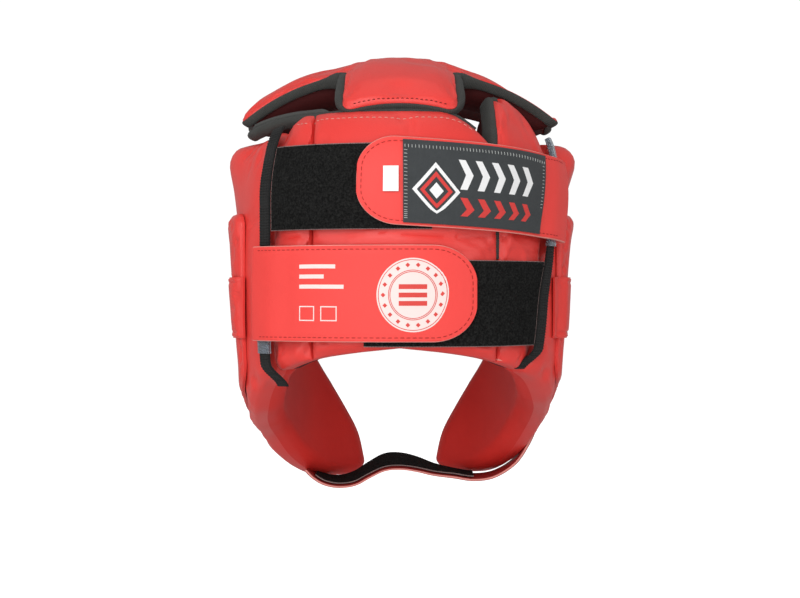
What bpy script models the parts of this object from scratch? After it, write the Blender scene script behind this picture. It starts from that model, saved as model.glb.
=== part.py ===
"""Boxing headgear, open at the face, closed behind the head by two hook and loop straps.

Metres, +Z up. The origin is the head seat: the top of the wearer's head, under the crown pad. The face looks
along -Y, the back of the head along +Y, and the wearer's left is +X.

Every pad and strap is placed on one head form. A place on it is an azimuth, in degrees from the back towards the
wearer's left, a level, in metres along the form above its widest line, and a distance out from its surface.
"""

import functools
import math

import bpy
import bmesh
from mathutils import Vector

# The head that the guard is made for
HEAD_HALF_WIDTH = 0.074
HEAD_HALF_LENGTH = 0.096
DOME_HEIGHT = 0.070
JAW_HALF_WIDTH = 0.064
GUARD_DROP = 0.230

# Padding
CROWN_THICKNESS = 0.0255
REAR_THICKNESS = 0.0240
SIDE_THICKNESS = 0.0240
GUARD_LAYER = 0.0060
FOREHEAD_THICKNESS = 0.0260
HEM = 0.0060
CLEARANCE = 0.0005

# Crown pad, measured along the head form from the top of the head
TONGUE_HALF_WIDTH = 0.0260
ARM_HALF_WIDTH = 0.0300
NOTCH_RADIUS = 0.0060
CORNER_RADIUS = 0.0080
CROWN_BEVEL = 0.0095
CROWN_EDGE_DROP = 0.0110
ARM_EDGE_DROP = 0.0200
ARM_LIFT = 0.0150

# Straps and trim
STRAP_THICKNESS = 0.0026
UPPER_STRAP_WIDTH = 0.0490
LOWER_STRAP_WIDTH = 0.0535
TAPE_WIDTH = 0.0480
TAPE_THICKNESS = 0.0018
LABEL_THICKNESS = 0.0008
ELASTIC_WIDTH = 0.0105
ELASTIC_THICKNESS = 0.0016
ELASTIC_RISE = 0.0022
SLEEVE_WALL = 0.0009
SLEEVE_ROOM = 0.0007
BINDING_WIDTH = 0.0040
BINDING_HEIGHT = 0.0058
FLAP_BINDING_WIDTH = 0.0054
FLAP_BINDING_HEIGHT = 0.0030
FLAP_BINDING_FOOT = 0.0260
CHIN_STRAP_WIDTH = 0.0260
CHIN_STRAP_THICKNESS = 0.0022
CHIN_TAPE_THICKNESS = 0.0014
CHIN_TAPE_MARGIN = 0.0020

# Seams: of the rear pad, how far from the middle; of the side pads, in degrees from the back of the head
SEAM_OFFSET = {"left": 0.0445, "right": 0.0530}
FRONT_SEAM = 118.0
GUARD_REAR = {"left": 58.0, "right": 64.0}
GUARD_FRONT = 121.0
FOLD_BEYOND = 4.4
SEAM_GAP = 0.25
TEMPLE_REAR = 58.0
TEMPLE_BLEND = 22.0

# Levels, as shares of GUARD_DROP below the seat
REAR_HEAD = 0.0855
REAR_FALL = 0.0600
BROW = 0.395
HAIRLINE = 0.130
GUARD_HEAD = 0.300
BAND_HEAD = 0.462
BAND_FOOT = 0.632
GUARD_MARGIN = 0.012

# Layers over the side pads and in the valleys behind them, and how far from an edge a pad rises to full height
GUARD_HEM = 0.0016
BAND_LAYER = 0.0014
REAR_ROUND = 0.013
FLAP_ROUND = 0.011
SIDE_ROUND = 0.016
VALLEY_ROUND = 0.024
FLAP_CORNER = 0.0080
RIM_END = 64.0
RIM_RISE = 0.0110
RIM_FALL = 0.0030
VENT_START = 25.0

# Straps behind the head: tops as drop shares, tilt in metres a degree, corner radii, and spans in degrees
UPPER_STRAP_TOP = 0.128
UPPER_STRAP_TILT = 0.00013
LOWER_STRAP_TOP = 0.388
UPPER_TAPE_TOP = 0.142
LOWER_TAPE_TOP = 0.426
UPPER_FREE_END = 10.8
LOWER_FREE_END = -19.0
UPPER_CORNER = 0.019
LOWER_CORNER = 0.017
TAPE_MARGIN = 5.0
UPPER_TAPE_END = -8.0
LOWER_TAPE_END = -6.0
LABEL_SPAN = (-0.8, -41.0)
LABEL_MARGIN = 0.0015
TAG_SPAN = (4.2, 0.4)
TAG_DROP = (0.261, 0.200)

# How far the squarish head form is from an ellipse, round the head and over the top
PLAN_POWER = 2.2
DOME_POWER = 2.3

DOME_ARC = 0.25 * math.pi * (HEAD_HALF_WIDTH + DOME_HEIGHT) * 1.03
REAR_HEM_OUT = 0.62 * REAR_THICKNESS
SIDE_HEM_OUT = 0.58 * SIDE_THICKNESS
STRAP_REACH = 0.95 * HEAD_HALF_LENGTH + REAR_THICKNESS
ELASTIC_OUT = REAR_THICKNESS + ELASTIC_RISE
SLEEVE_OUT = 0.5 * ELASTIC_THICKNESS + SLEEVE_ROOM + SLEEVE_WALL
UNDER_OUT = REAR_THICKNESS
BINDING_BESIDE = 0.5 * BINDING_WIDTH + CLEARANCE
OVER_OUT = ELASTIC_OUT + SLEEVE_OUT + CLEARANCE + 0.5 * STRAP_THICKNESS + 0.0002

RED = (0.80, 0.06, 0.05)
DEEP_RED = (0.45, 0.03, 0.03)
GREY = (0.08, 0.08, 0.075)
BLACK = (0.015, 0.015, 0.015)
SLATE = (0.05, 0.06, 0.075)
WHITE = (0.80, 0.80, 0.80)
CLEAR = (0.45, 0.52, 0.60)

# Lower edge of the whole guard: azimuth, drop below the seat as a share of GUARD_DROP
JAW_LINE = {"left": [(0, 0.636), (14, 0.650), (26, 0.668), (46, 0.722), (56, 0.765), (67, 0.810), (90, 0.855),
                     (110, 0.890), (130, 0.945), (150, 0.995), (170, 0.995)],
            "right": [(0, 0.636), (14, 0.650), (26, 0.668), (46, 0.715), (56, 0.750), (67, 0.785), (90, 0.825),
                      (110, 0.868), (130, 0.930), (150, 0.985), (170, 0.985)]}
# Edge of the face opening: drop as a share of GUARD_DROP, azimuth
FACE_EDGE = [(0.43, 117.6), (0.47, 126), (0.53, 133), (0.62, 139), (0.69, 147), (0.76, 154.5), (0.84, 161.5),
             (0.90, 165.5), (0.98, 168)]
# Top edge of the side pads: azimuth, drop share
SIDE_TOP = [(36, 0.092), (48, 0.110), (60, 0.120), (80, 0.126), (100, 0.126), (118, 0.135)]
# Padding of the side pads over the head form: drop share, thickness as a share of SIDE_THICKNESS
SIDE_PROFILE = [(0.05, 1.02), (0.12, 1.34), (0.17, 1.42), (0.24, 1.12), (0.30, 1.00), (0.45, 0.90), (0.63, 0.86),
                (0.75, 0.88), (0.90, 0.92), (1.0, 0.90)]
# Padding of the ear guards over the side pads: drop share, thickness as a share of GUARD_LAYER
GUARD_PROFILE = [(0.30, 1.00), (0.45, 0.75), (0.64, 0.45), (0.80, 0.40)]
# Valleys between the flaps and the side pads, where the elastics run: level as a share of GUARD_DROP, azimuth
VALLEY = {"left": [(-0.44, 34.5), (-0.36, 39.3), (-0.25, 39.8), (-0.06, 39.2), (0.00, 39.2), (0.07, 39.6),
                   (0.13, 40.0), (0.17, 38.0), (0.20, 35.0)],
          "right": [(-0.44, 33.0), (-0.40, 35.5), (-0.34, 40.8), (-0.20, 44.2), (-0.083, 49.0), (0.00, 52.0),
                    (0.07, 56.0), (0.135, 62.0), (0.19, 66.0)]}
# Azimuth of each valley halfway up the strap that runs round its elastic
VALLEY_MEAN = {"left": 39.6, "right": 54.0}
# Elastics and sleeves: upper and lower end as drop shares
ELASTIC_SPAN = {"left": (0.096, 0.715), "right": (0.100, 0.700)}
SLEEVE_SPAN = {"left": (0.40, 0.652), "right": (0.094, 0.385)}
# Middle of the chin strap as shares of GUARD_DROP, and its tilt in degrees, rear edge down
CHIN_PATH = [(0.262, -0.292, -0.994, 2), (0.240, -0.296, -1.014, -1), (0.210, -0.300, -1.031, -4), (0.170, -0.305, -1.038, -5), (0.125, -0.310, -1.030, -9),
             (0.083, -0.315, -1.006, -16), (0.042, -0.318, -0.985, -21), (0.000, -0.318, -0.982, -21),
             (-0.045, -0.316, -0.992, -18), (-0.095, -0.312, -1.010, -10), (-0.150, -0.308, -1.020, -5),
             (-0.205, -0.302, -1.026, -4), (-0.262, -0.292, -1.014, -2), (-0.318, -0.276, -0.975, 0),
             (-0.354, -0.256, -0.918, 2), (-0.378, -0.240, -0.862, 4)]


def read(table, at):
    """Second column of a table at a value of its first, along a smooth curve through its rows."""
    if at <= table[0][0]:
        return table[0][1]
    if at >= table[-1][0]:
        return table[-1][1]
    i = max(k for k in range(len(table) - 1) if table[k][0] <= at)

    def slope(k):
        before, after = table[max(k - 1, 0)], table[min(k + 1, len(table) - 1)]
        return (after[1] - before[1]) / (after[0] - before[0])

    (x0, y0), (x1, y1) = table[i], table[i + 1]
    step = x1 - x0
    t = (at - x0) / step
    return ((2 * t ** 3 - 3 * t ** 2 + 1) * y0 + (t ** 3 - 2 * t ** 2 + t) * step * slope(i)
            + (3 * t ** 2 - 2 * t ** 3) * y1 + (t ** 3 - t ** 2) * step * slope(i + 1))


def ease(share):
    """0 to 1 with level ends."""
    share = min(max(share, 0.0), 1.0)
    return share * share * (3 - 2 * share)


def drop(share):
    """Height of a place that lies a share of the guard's drop below the seat."""
    return -share * GUARD_DROP


def narrowing(z):
    """Share of the way from the widest level to the jaw, 0 above the ears."""
    start = 0.55 * GUARD_DROP
    return min(max((-z - start) / (GUARD_DROP - start), 0.0), 1.2) ** 1.6


def form_value(x, y, z):
    """1 on the head form, less inside it: a dome over a wall that narrows to the jaw."""
    if z > -DOME_HEIGHT:
        plan = abs(x / HEAD_HALF_WIDTH) ** PLAN_POWER + abs(y / HEAD_HALF_LENGTH) ** PLAN_POWER
        return plan ** (DOME_POWER / PLAN_POWER) + ((z + DOME_HEIGHT) / DOME_HEIGHT) ** DOME_POWER
    half_width = HEAD_HALF_WIDTH + (JAW_HALF_WIDTH - HEAD_HALF_WIDTH) * narrowing(z)
    return (abs(x / half_width) ** PLAN_POWER + abs(y / HEAD_HALF_LENGTH) ** PLAN_POWER) ** (DOME_POWER / PLAN_POWER)


@functools.lru_cache(maxsize=None)
def form_frame(azimuth, level):
    """Point on the head form and the direction straight out from it there."""
    turn = math.radians(azimuth)
    if level > 0:
        rise = 0.5 * math.pi * min(level / DOME_ARC, 1.0)
        ray = Vector((math.sin(turn) * math.cos(rise), math.cos(turn) * math.cos(rise), math.sin(rise)))
        value = form_value(ray.x, ray.y, ray.z - DOME_HEIGHT)
        point = ray * value ** (-1 / DOME_POWER) - Vector((0, 0, DOME_HEIGHT))
    else:
        z = level - DOME_HEIGHT
        value = form_value(math.sin(turn), math.cos(turn), z)
        reach = value ** (-1 / DOME_POWER)
        point = Vector((math.sin(turn) * reach, math.cos(turn) * reach, z))
    small = 1e-5
    out = Vector([form_value(*(point + small * axis)) - form_value(*(point - small * axis))
                  for axis in (Vector((1, 0, 0)), Vector((0, 1, 0)), Vector((0, 0, 1)))])
    return point, out.normalized()


def place(azimuth, level, out):
    """Point at a distance out from the head form."""
    point, direction = form_frame(round(azimuth, 6), round(level, 8))
    return point + direction * out


def level_for(azimuth, out, z):
    """Level at which the point at a distance out has a height z."""
    low, high = -GUARD_DROP, DOME_ARC
    for _ in range(26):
        middle = 0.5 * (low + high)
        if place(azimuth, middle, out).z < z:
            low = middle
        else:
            high = middle
    return 0.5 * (low + high)


def material(name, colour, roughness=0.5, alpha=1.0):
    shade = bpy.data.materials.new(name)
    shade.use_nodes = True
    shader = shade.node_tree.nodes["Principled BSDF"]
    shader.inputs["Base Color"].default_value = (*colour, 1)
    shader.inputs["Roughness"].default_value = roughness
    shader.inputs["Alpha"].default_value = alpha
    shade.diffuse_color = (*colour, 1)
    return shade


def solid(name, points, faces, colour, roughness=0.5, alpha=1.0):
    """Closed mesh object with its faces pointing out."""
    mesh = bpy.data.meshes.new(name)
    mesh.from_pydata([tuple(p) for p in points], [], faces)
    work = bmesh.new()
    work.from_mesh(mesh)
    bmesh.ops.recalc_face_normals(work, faces=work.faces)
    bmesh.ops.triangulate(work, faces=work.faces)
    work.to_mesh(mesh)
    work.free()
    mesh.shade_smooth()
    mesh.set_sharp_from_angle(angle=math.radians(50))
    mesh.materials.append(material(name, colour, roughness, alpha))
    thing = bpy.data.objects.new(name, mesh)
    bpy.context.collection.objects.link(thing)
    return thing


def sheet_faces(columns, rows):
    """Faces of two grids of points, the inner one first, closed round their rim."""
    count = columns * rows
    faces = []
    for i in range(columns - 1):
        for j in range(rows - 1):
            a, b, c, d = i * rows + j, (i + 1) * rows + j, (i + 1) * rows + j + 1, i * rows + j + 1
            faces.append((a, b, c, d))
            faces.append((count + a, count + d, count + c, count + b))
    rim = [i * rows for i in range(columns)]
    rim += [(columns - 1) * rows + j for j in range(1, rows)]
    rim += [i * rows + rows - 1 for i in range(columns - 2, -1, -1)]
    rim += [j for j in range(rows - 2, 0, -1)]
    for a, b in zip(rim, rim[1:] + rim[:1]):
        faces.append((a, count + a, count + b, b))
    return faces


def edge_steps(inside, steps=(0.0, 0.02, 0.07, 0.15)):
    """Shares from 0 to 1, closer together at both ends, where a pad turns down to its edge."""
    steps = list(steps)
    middle = [steps[-1] + (1 - 2 * steps[-1]) * (k + 1) / (inside + 1) for k in range(inside)]
    return steps + middle + [1 - s for s in reversed(steps)]


def swell(distance, reach):
    """0 at a pad's edge and 1 from `reach` inwards, as a quarter of an ellipse."""
    return math.sqrt(max(0.0, 1 - max(0.0, 1 - distance / reach) ** 2))


def head_form(azimuth, z):
    return 0.0


def pad(name, start, end, low, high, top, edge_out, round_over, columns, rows, base=head_form, hem=HEM,
        start_round=None, steps=(0.0, 0.02, 0.07, 0.15)):
    """Padded panel between two sides, as azimuths by level, and two edges, as heights by azimuth.

    Its inner and outer faces, `base` and `top`, are distances off the head by azimuth and height, and both turn
    to a hem whose middle lies `edge_out` over the base.
    """
    reference = edge_out + base(start(0.0), -DOME_HEIGHT)

    def meet(u, edge):
        """Level where the line a share of the way across meets an edge."""
        level = 0.0
        for _ in range(8):
            azimuth = start(level) * (1 - u) + end(level) * u
            level = level_for(azimuth, reference, edge(azimuth))
        return level

    across, up = edge_steps(columns, steps), edge_steps(rows, steps)
    grid = []
    for u in across:
        foot_level, head_level = meet(u, low), meet(u, high)
        column = []
        for v in up:
            level = foot_level * (1 - v) + head_level * v
            first, last = start(level), end(level)
            column.append((first * (1 - u) + last * u, level))
        grid.append(column)
    middle = [[place(azimuth, level, reference) for azimuth, level in column] for column in grid]
    inner, outer = [], []
    for i, column in enumerate(grid):
        for j, (azimuth, level) in enumerate(column):
            width = sum((middle[k + 1][j] - middle[k][j]).length for k in range(len(grid) - 1))
            height = sum((middle[i][k + 1] - middle[i][k]).length for k in range(len(up) - 1))
            end_gap = min(up[j], 1 - up[j]) * height
            full = swell(across[i] * width, start_round or round_over) * swell((1 - across[i]) * width, round_over)
            full *= swell(end_gap, round_over)
            seat = swell(min(across[i], 1 - across[i]) * width, 0.6 * round_over) * swell(end_gap, 0.6 * round_over)
            z = middle[i][j].z
            foundation = base(azimuth, z)
            inner.append(place(azimuth, level, foundation + (edge_out - 0.5 * hem) * (1 - seat)))
            outer.append(place(azimuth, level,
                               (foundation + edge_out + 0.5 * hem) * (1 - full) + top(azimuth, z) * full))
    return solid(name, inner + outer, sheet_faces(len(across), len(up)), RED)


def ribbon(name, path, low, high, thickness, colour, strips=4, roughness=0.5, side=None):
    """Flat band along a path of (azimuth, out) rows, between two heights by azimuth.

    A band with a side leans as the valley of that side does, more so the nearer it comes to it.
    """
    grid = []
    for azimuth, out in path:
        foot, head = level_for(azimuth, out, low(azimuth)), level_for(azimuth, out, high(azimuth))
        column = []
        for k in range(strips + 1):
            level = foot + (head - foot) * k / strips
            lean = 0.0
            if side:
                share = ease((abs(azimuth) - 20) / (VALLEY_MEAN[side] - 20))
                lean = math.copysign(share, azimuth) * (valley(side, level) - VALLEY_MEAN[side])
            column.append(place(azimuth + lean, level, out))
        grid.append(column)
    return band(name, grid, thickness, colour, roughness)


def band(name, grid, thickness, colour, roughness=0.5, alpha=1.0):
    """Closed solid of even thickness round a grid of points, a row of points for each step along it."""
    columns, rows = len(grid), len(grid[0])
    sides = ([], [])
    for i in range(columns):
        for j in range(rows):
            along = grid[min(i + 1, columns - 1)][j] - grid[max(i - 1, 0)][j]
            up = grid[i][min(j + 1, rows - 1)] - grid[i][max(j - 1, 0)]
            out = up.cross(along).normalized()
            sides[0].append(grid[i][j] - out * 0.5 * thickness)
            sides[1].append(grid[i][j] + out * 0.5 * thickness)
    return solid(name, sides[0] + sides[1], sheet_faces(columns, rows), colour, roughness, alpha)


def bead(name, stations, colour, shift, width=BINDING_WIDTH, height=BINDING_HEIGHT, closed=False, sides=6):
    """Bound edge: an oval rod beside a line of (point, direction out) stations, shifted across it."""
    count = len(stations)
    points = []
    for i, (point, out) in enumerate(stations):
        before = stations[i - 1 if closed else max(i - 1, 0)][0]
        after = stations[(i + 1) % count if closed else min(i + 1, count - 1)][0]
        across = (after - before).cross(out).normalized()
        for k in range(sides):
            turn = 2 * math.pi * (k + 0.5) / sides
            points.append(point + across * (shift + 0.5 * width * math.cos(turn)) + out * (0.5 * height * math.sin(turn)))
    faces = []
    for i in range(count if closed else count - 1):
        a, b = i * sides, (i + 1) % count * sides
        faces += [(a + k, a + (k + 1) % sides, b + (k + 1) % sides, b + k) for k in range(sides)]
    if not closed:
        faces += [tuple(range(sides)), tuple(range(len(points) - 1, len(points) - 1 - sides, -1))]
    return solid(name, points, faces, colour)


def crown_outline():
    """Outline of the crown pad on the head form, as points (left, back) from the top."""
    reach = {side: DOME_ARC - level_for(azimuth, 0.6 * CROWN_THICKNESS, -edge_drop)
             for side, azimuth, edge_drop in (("back", 0, CROWN_EDGE_DROP), ("left", 90, ARM_EDGE_DROP),
                                              ("front", 180, CROWN_EDGE_DROP))}
    tongue, arm, notch, corner = TONGUE_HALF_WIDTH, ARM_HALF_WIDTH, NOTCH_RADIUS, CORNER_RADIUS

    def arc(centre, radius, first, last, steps=3):
        turns = [math.radians(first + (last - first) * k / steps) for k in range(steps + 1)]
        return [(centre[0] + radius * math.cos(t), centre[1] + radius * math.sin(t)) for t in turns]

    def quarter(end, side):
        """From the end of a tongue to the end of an arm, going clockwise from the back."""
        points = [(0.0, end), (0.5 * (tongue - corner), end)]
        points += arc((tongue - corner, end - corner), corner, 90, 0)
        points += run((tongue, end - corner), (tongue, arm + notch), 3)
        points += arc((tongue + notch, arm + notch), notch, 180, 270)
        points += run((tongue + notch, arm), (side - corner, arm), 4)
        points += arc((side - corner, arm - corner), corner, 90, 0)
        return points + [(side, 0.5 * (arm - corner))]

    def run(first, last, steps):
        """Points between two others, without the two."""
        return [tuple(a + (b - a) * k / steps for a, b in zip(first, last)) for k in range(1, steps)]

    back, front = quarter(reach["back"], reach["left"]), quarter(reach["front"], reach["left"])
    outline = back + [(reach["left"], 0.0)]
    outline += [(x, -y) for x, y in reversed(front[1:])] + [(0.0, -reach["front"])]
    return outline + [(-x, y) for x, y in reversed(outline[1:-1])]


def crown_frame(left, back):
    """Point on the head form and the direction out, at a place measured along it from the top."""
    azimuth = math.degrees(math.atan2(left, back))
    return form_frame(round(azimuth, 6), round(DOME_ARC - math.hypot(left, back), 8))


def crown():
    """Cross-shaped pad with bevelled edges, built in rings from the middle of the head to its outline."""
    outline = crown_outline()
    arm = max(x for x, y in outline)
    rings = [0.35, 0.62, 0.78, 0.90, 0.97, 1.0]
    edge_out = 0.70 * CROWN_THICKNESS

    def edge_distance(x, y):
        best = 1.0
        for (x0, y0), (x1, y1) in zip(outline, outline[1:] + outline[:1]):
            length = (x1 - x0) ** 2 + (y1 - y0) ** 2
            t = min(max(((x - x0) * (x1 - x0) + (y - y0) * (y1 - y0)) / length, 0.0), 1.0)
            best = min(best, math.hypot(x - x0 - t * (x1 - x0), y - y0 - t * (y1 - y0)))
        return best

    layers = ([], [])
    for share in [0.0] + rings:
        for x, y in (outline if share else [(0.0, 0.0)]):
            x, y = x * share, y * share
            point, out = crown_frame(x, y)
            inside = edge_distance(x, y) if share < 1 else 0.0
            bevel = min(inside / CROWN_BEVEL, 1.0)
            full = 0.35 * swell(inside, 0.25 * CROWN_BEVEL) + 0.65 * bevel
            seat = swell(inside, CROWN_BEVEL)
            lift = ARM_LIFT * abs(x / arm) ** 2.5
            layers[0].append(point + out * (lift + (edge_out - 0.5 * HEM) * (1 - seat)))
            layers[1].append(point + out * (lift + (edge_out + 0.5 * HEM) * (1 - full) + CROWN_THICKNESS * full))
    n, count = len(outline), len(layers[0])
    faces = []
    for k in range(n):
        after = (k + 1) % n
        faces += [(0, 1 + k, 1 + after), (count, count + 1 + after, count + 1 + k)]
        for ring in range(len(rings) - 1):
            a, b = 1 + ring * n, 1 + (ring + 1) * n
            faces.append((a + k, b + k, b + after, a + after))
            faces.append((count + a + k, count + a + after, count + b + after, count + b + k))
        last = 1 + (len(rings) - 1) * n
        faces.append((last + k, count + last + k, count + last + after, last + after))
    solid("crown_pad", layers[0] + layers[1], faces, RED)
    trim = []
    for x, y in outline:
        point, out = crown_frame(x, y)
        trim.append((point + out * (edge_out + ARM_LIFT * abs(x / arm) ** 2.5), out))
    bead("crown_binding", trim, GREY, -BINDING_BESIDE, closed=True)


def jaw_line(azimuth):
    """Height of the guard's lower edge."""
    return drop(read(JAW_LINE["left" if azimuth > 0 else "right"], abs(azimuth)))


@functools.lru_cache(maxsize=None)
def seam(side, level):
    """Azimuth of a rear seam, which runs straight up and so turns outwards on the dome."""
    azimuth = 25.0
    for _ in range(8):
        point = place(azimuth, level, REAR_HEM_OUT)
        azimuth = math.degrees(math.asin(min(SEAM_OFFSET[side] / math.hypot(point.x, point.y), 1.0)))
    return azimuth


def rear_top(azimuth):
    """Height of the rear pad's top edge: level under the tongue, falling to a rounded corner at the right."""
    corner = seam("right", 0.0)
    return drop(REAR_HEAD + REAR_FALL * ease((-azimuth - 0.42 * corner) / (0.58 * corner)))


def valley(side, level):
    """Azimuth of the seam between a flap and its side pad."""
    return read(VALLEY[side], level / GUARD_DROP)


def flap_top_right(azimuth):
    """Height of a line along the rear edge of the crown pad's arm, turned down to a rounded rear corner."""
    across = ARM_HALF_WIDTH + 2 * BINDING_WIDTH + 3 * CLEARANCE
    reach = across / math.cos(math.radians(azimuth))
    edge = place(azimuth, DOME_ARC - reach, REAR_HEM_OUT)
    inside = swell(max(abs(edge.x) - SEAM_OFFSET["right"], 0.0), FLAP_CORNER)
    return edge.z - FLAP_CORNER * (1 - inside)


def back_of_the_head():
    """Rear pad and the two flaps beside it."""
    def full(azimuth, z):
        return REAR_THICKNESS

    pad("rear_pad", lambda level: SEAM_GAP - seam("right", level), lambda level: seam("left", level) - SEAM_GAP,
        jaw_line, rear_top, full, REAR_HEM_OUT, REAR_ROUND, 8, 5)
    pad("rear_flap_left", lambda level: valley("left", level) - SEAM_GAP,
        lambda level: seam("left", level) + SEAM_GAP, jaw_line, lambda azimuth: drop(REAR_HEAD), full, REAR_HEM_OUT,
        FLAP_ROUND, 2, 4, start_round=VALLEY_ROUND)
    pad("rear_flap_right", lambda level: SEAM_GAP - valley("right", level),
        lambda level: -seam("right", level) - SEAM_GAP, jaw_line, flap_top_right, full, REAR_HEM_OUT, FLAP_ROUND, 2,
        7, start_round=VALLEY_ROUND)


def back_bindings():
    """Tape along the top of the rear pad and left flap, the vent rim above it, and round the free right flap."""
    start = math.degrees(FLAP_BINDING_WIDTH / STRAP_REACH) + 1.0 - seam("right", 0.0)
    left_end = VALLEY_MEAN["left"]
    rim = []
    for k in range(27):
        azimuth = start + (RIM_END - start) * k / 26
        beyond = ease((azimuth - left_end + 4) / (RIM_END - left_end))
        out = REAR_HEM_OUT + RIM_RISE * beyond
        level = level_for(azimuth, out, rear_top(azimuth) - RIM_FALL * beyond ** 2)
        rim.append((azimuth, (place(azimuth, level, out), form_frame(azimuth, level)[1])))
    bead("rear_binding", [station for azimuth, station in rim], GREY, BINDING_BESIDE)
    bead("vent_rim_left", [station for azimuth, station in rim if VENT_START < azimuth < RIM_END - 5], GREY,
         BINDING_BESIDE + BINDING_WIDTH)
    edge = []
    foot = -DOME_HEIGHT - FLAP_BINDING_FOOT
    corner = seam("right", 0.4 * DOME_ARC)
    for _ in range(4):
        top = level_for(-corner, REAR_HEM_OUT, flap_top_right(-corner))
        corner = seam("right", top)
    for k in range(13):
        level = foot + DOME_HEIGHT + (top - foot - DOME_HEIGHT) * k / 12
        sunk = ease((level / top - 0.76) / 0.24)
        out = REAR_THICKNESS + 0.0003 - (REAR_THICKNESS - REAR_HEM_OUT) * sunk
        edge.append((place(-seam("right", level), level, out), form_frame(-seam("right", level), level)[1]))
    for beyond in (2.0, 5.0, 9.0):
        azimuth = -corner - beyond
        level = level_for(azimuth, REAR_HEM_OUT, flap_top_right(azimuth))
        edge.append((place(azimuth, level, REAR_HEM_OUT), form_frame(azimuth, level)[1]))
    bead("flap_binding_right", edge, GREY, -0.5 * FLAP_BINDING_WIDTH - 2 * CLEARANCE, FLAP_BINDING_WIDTH,
         FLAP_BINDING_HEIGHT)


def side_top(azimuth, z):
    """How far the outside of a side pad stands off the head form; the temple swells only in front of the straps."""
    swelling = ease((abs(azimuth) - TEMPLE_REAR) / TEMPLE_BLEND)
    return SIDE_THICKNESS * (1 + (read(SIDE_PROFILE, -z / GUARD_DROP) - 1) * swelling)


def guard_top(azimuth, z):
    """How far the outside of an ear guard stands off the head form."""
    return side_top(azimuth, z) + CLEARANCE + GUARD_LAYER * read(GUARD_PROFILE, -z / GUARD_DROP)


def side_pads():
    """Temple, ear and cheek of each side, and the forehead between them."""
    for side, sign in (("left", 1), ("right", -1)):
        def front(level):
            return sign * (read(FACE_EDGE, (DOME_HEIGHT - level) / GUARD_DROP) - SEAM_GAP)

        def rear(level):
            return sign * (valley(side, level) + SEAM_GAP)

        pad("side_pad_" + side, rear, front, jaw_line, lambda azimuth: drop(read(SIDE_TOP, abs(azimuth))), side_top,
            SIDE_HEM_OUT, SIDE_ROUND, 6, 7, start_round=VALLEY_ROUND)
    pad("forehead_pad", lambda level: FRONT_SEAM + SEAM_GAP, lambda level: 360 - FRONT_SEAM - SEAM_GAP,
        lambda azimuth: drop(BROW), lambda azimuth: drop(HAIRLINE), lambda azimuth, z: FOREHEAD_THICKNESS,
        SIDE_HEM_OUT, SIDE_ROUND, 7, 3)
    trim = []
    for k in range(19):
        azimuth = FRONT_SEAM + (360 - 2 * FRONT_SEAM) * k / 18
        level = level_for(azimuth, SIDE_HEM_OUT, drop(HAIRLINE))
        trim.append((place(azimuth, level, SIDE_HEM_OUT), form_frame(azimuth, level)[1]))
    bead("forehead_binding", trim, GREY, BINDING_BESIDE)


def ear_guards():
    """Second layer of padding over each ear, and the leather band round it."""
    for side, sign in (("left", 1), ("right", -1)):
        pad("ear_guard_" + side, lambda level: sign * GUARD_REAR[side], lambda level: sign * GUARD_FRONT,
            lambda azimuth: jaw_line(azimuth) + GUARD_MARGIN, lambda azimuth: drop(GUARD_HEAD), guard_top,
            0.5 * GUARD_HEM, 0.010, 4, 4, base=lambda azimuth, z: side_top(azimuth, z) + CLEARANCE, hem=GUARD_HEM)
        pad("ear_band_" + side, lambda level: sign * (GUARD_REAR[side] + 0.3), lambda level: sign * GUARD_FRONT,
            lambda azimuth: drop(BAND_FOOT), lambda azimuth: drop(BAND_HEAD),
            lambda azimuth, z: guard_top(azimuth, z) + CLEARANCE + BAND_LAYER, 0.5 * BAND_LAYER, 0.004, 4, 1,
            base=lambda azimuth, z: guard_top(azimuth, z) + CLEARANCE, hem=0.9 * BAND_LAYER,
            steps=(0.0, 0.05))


def upright(path, width, strips=2):
    """Rows of points across a band that runs down the head, through (level, azimuth, out) rows."""
    grid = []
    for level, azimuth, out in path:
        centre = place(azimuth, level, out)
        half = math.degrees(0.5 * width / math.hypot(centre.x, centre.y))
        grid.append([place(azimuth + half * (1 - 2 * k / strips), level, out) for k in range(strips + 1)])
    return grid


def elastics():
    """Ribbed elastic down the valley behind each side pad, and the clear sleeves that the straps run round."""
    for side, sign in (("left", 1), ("right", -1)):
        def rows(span, count, shift=0.0):
            """(level, azimuth, out) rows down the valley between two drop shares."""
            ends = [level_for(sign * VALLEY_MEAN[side], ELASTIC_OUT, drop(share)) for share in span]
            levels = [ends[0] + (ends[1] - ends[0]) * k / count for k in range(count + 1)]
            return [(level, sign * valley(side, level), ELASTIC_OUT + shift) for level in levels]

        band("elastic_" + side, upright(rows(ELASTIC_SPAN[side], 14), ELASTIC_WIDTH), ELASTIC_THICKNESS, BLACK, 0.9)
        shells = []
        for grown in (0.0, SLEEVE_WALL):
            room = SLEEVE_ROOM + grown
            half_out = 0.5 * ELASTIC_THICKNESS + room
            faces = [upright(rows(SLEEVE_SPAN[side], 7, shift), ELASTIC_WIDTH + 2 * room)
                     for shift in (-half_out, half_out)]
            shells.append([under + over[::-1] for under, over in zip(*faces)])
        tube("sleeve_" + side, shells[0], shells[1], CLEAR, 0.1, 0.5)


def tube(name, inner, outer, colour, roughness, alpha):
    """Open-ended sleeve between two sets of closed loops of points."""
    loops, count = len(inner), len(inner[0])
    points = [point for shell in (inner, outer) for loop in shell for point in loop]
    faces = []
    for shell in range(2):
        for i in range(loops - 1):
            a, b = (shell * loops + i) * count, (shell * loops + i + 1) * count
            faces += [(a + k, a + (k + 1) % count, b + (k + 1) % count, b + k) for k in range(count)]
    for i in (0, loops - 1):
        a, b = i * count, (loops + i) * count
        faces += [(a + k, a + (k + 1) % count, b + (k + 1) % count, b + k) for k in range(count)]
    return solid(name, points, faces, colour, roughness, alpha)


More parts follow.
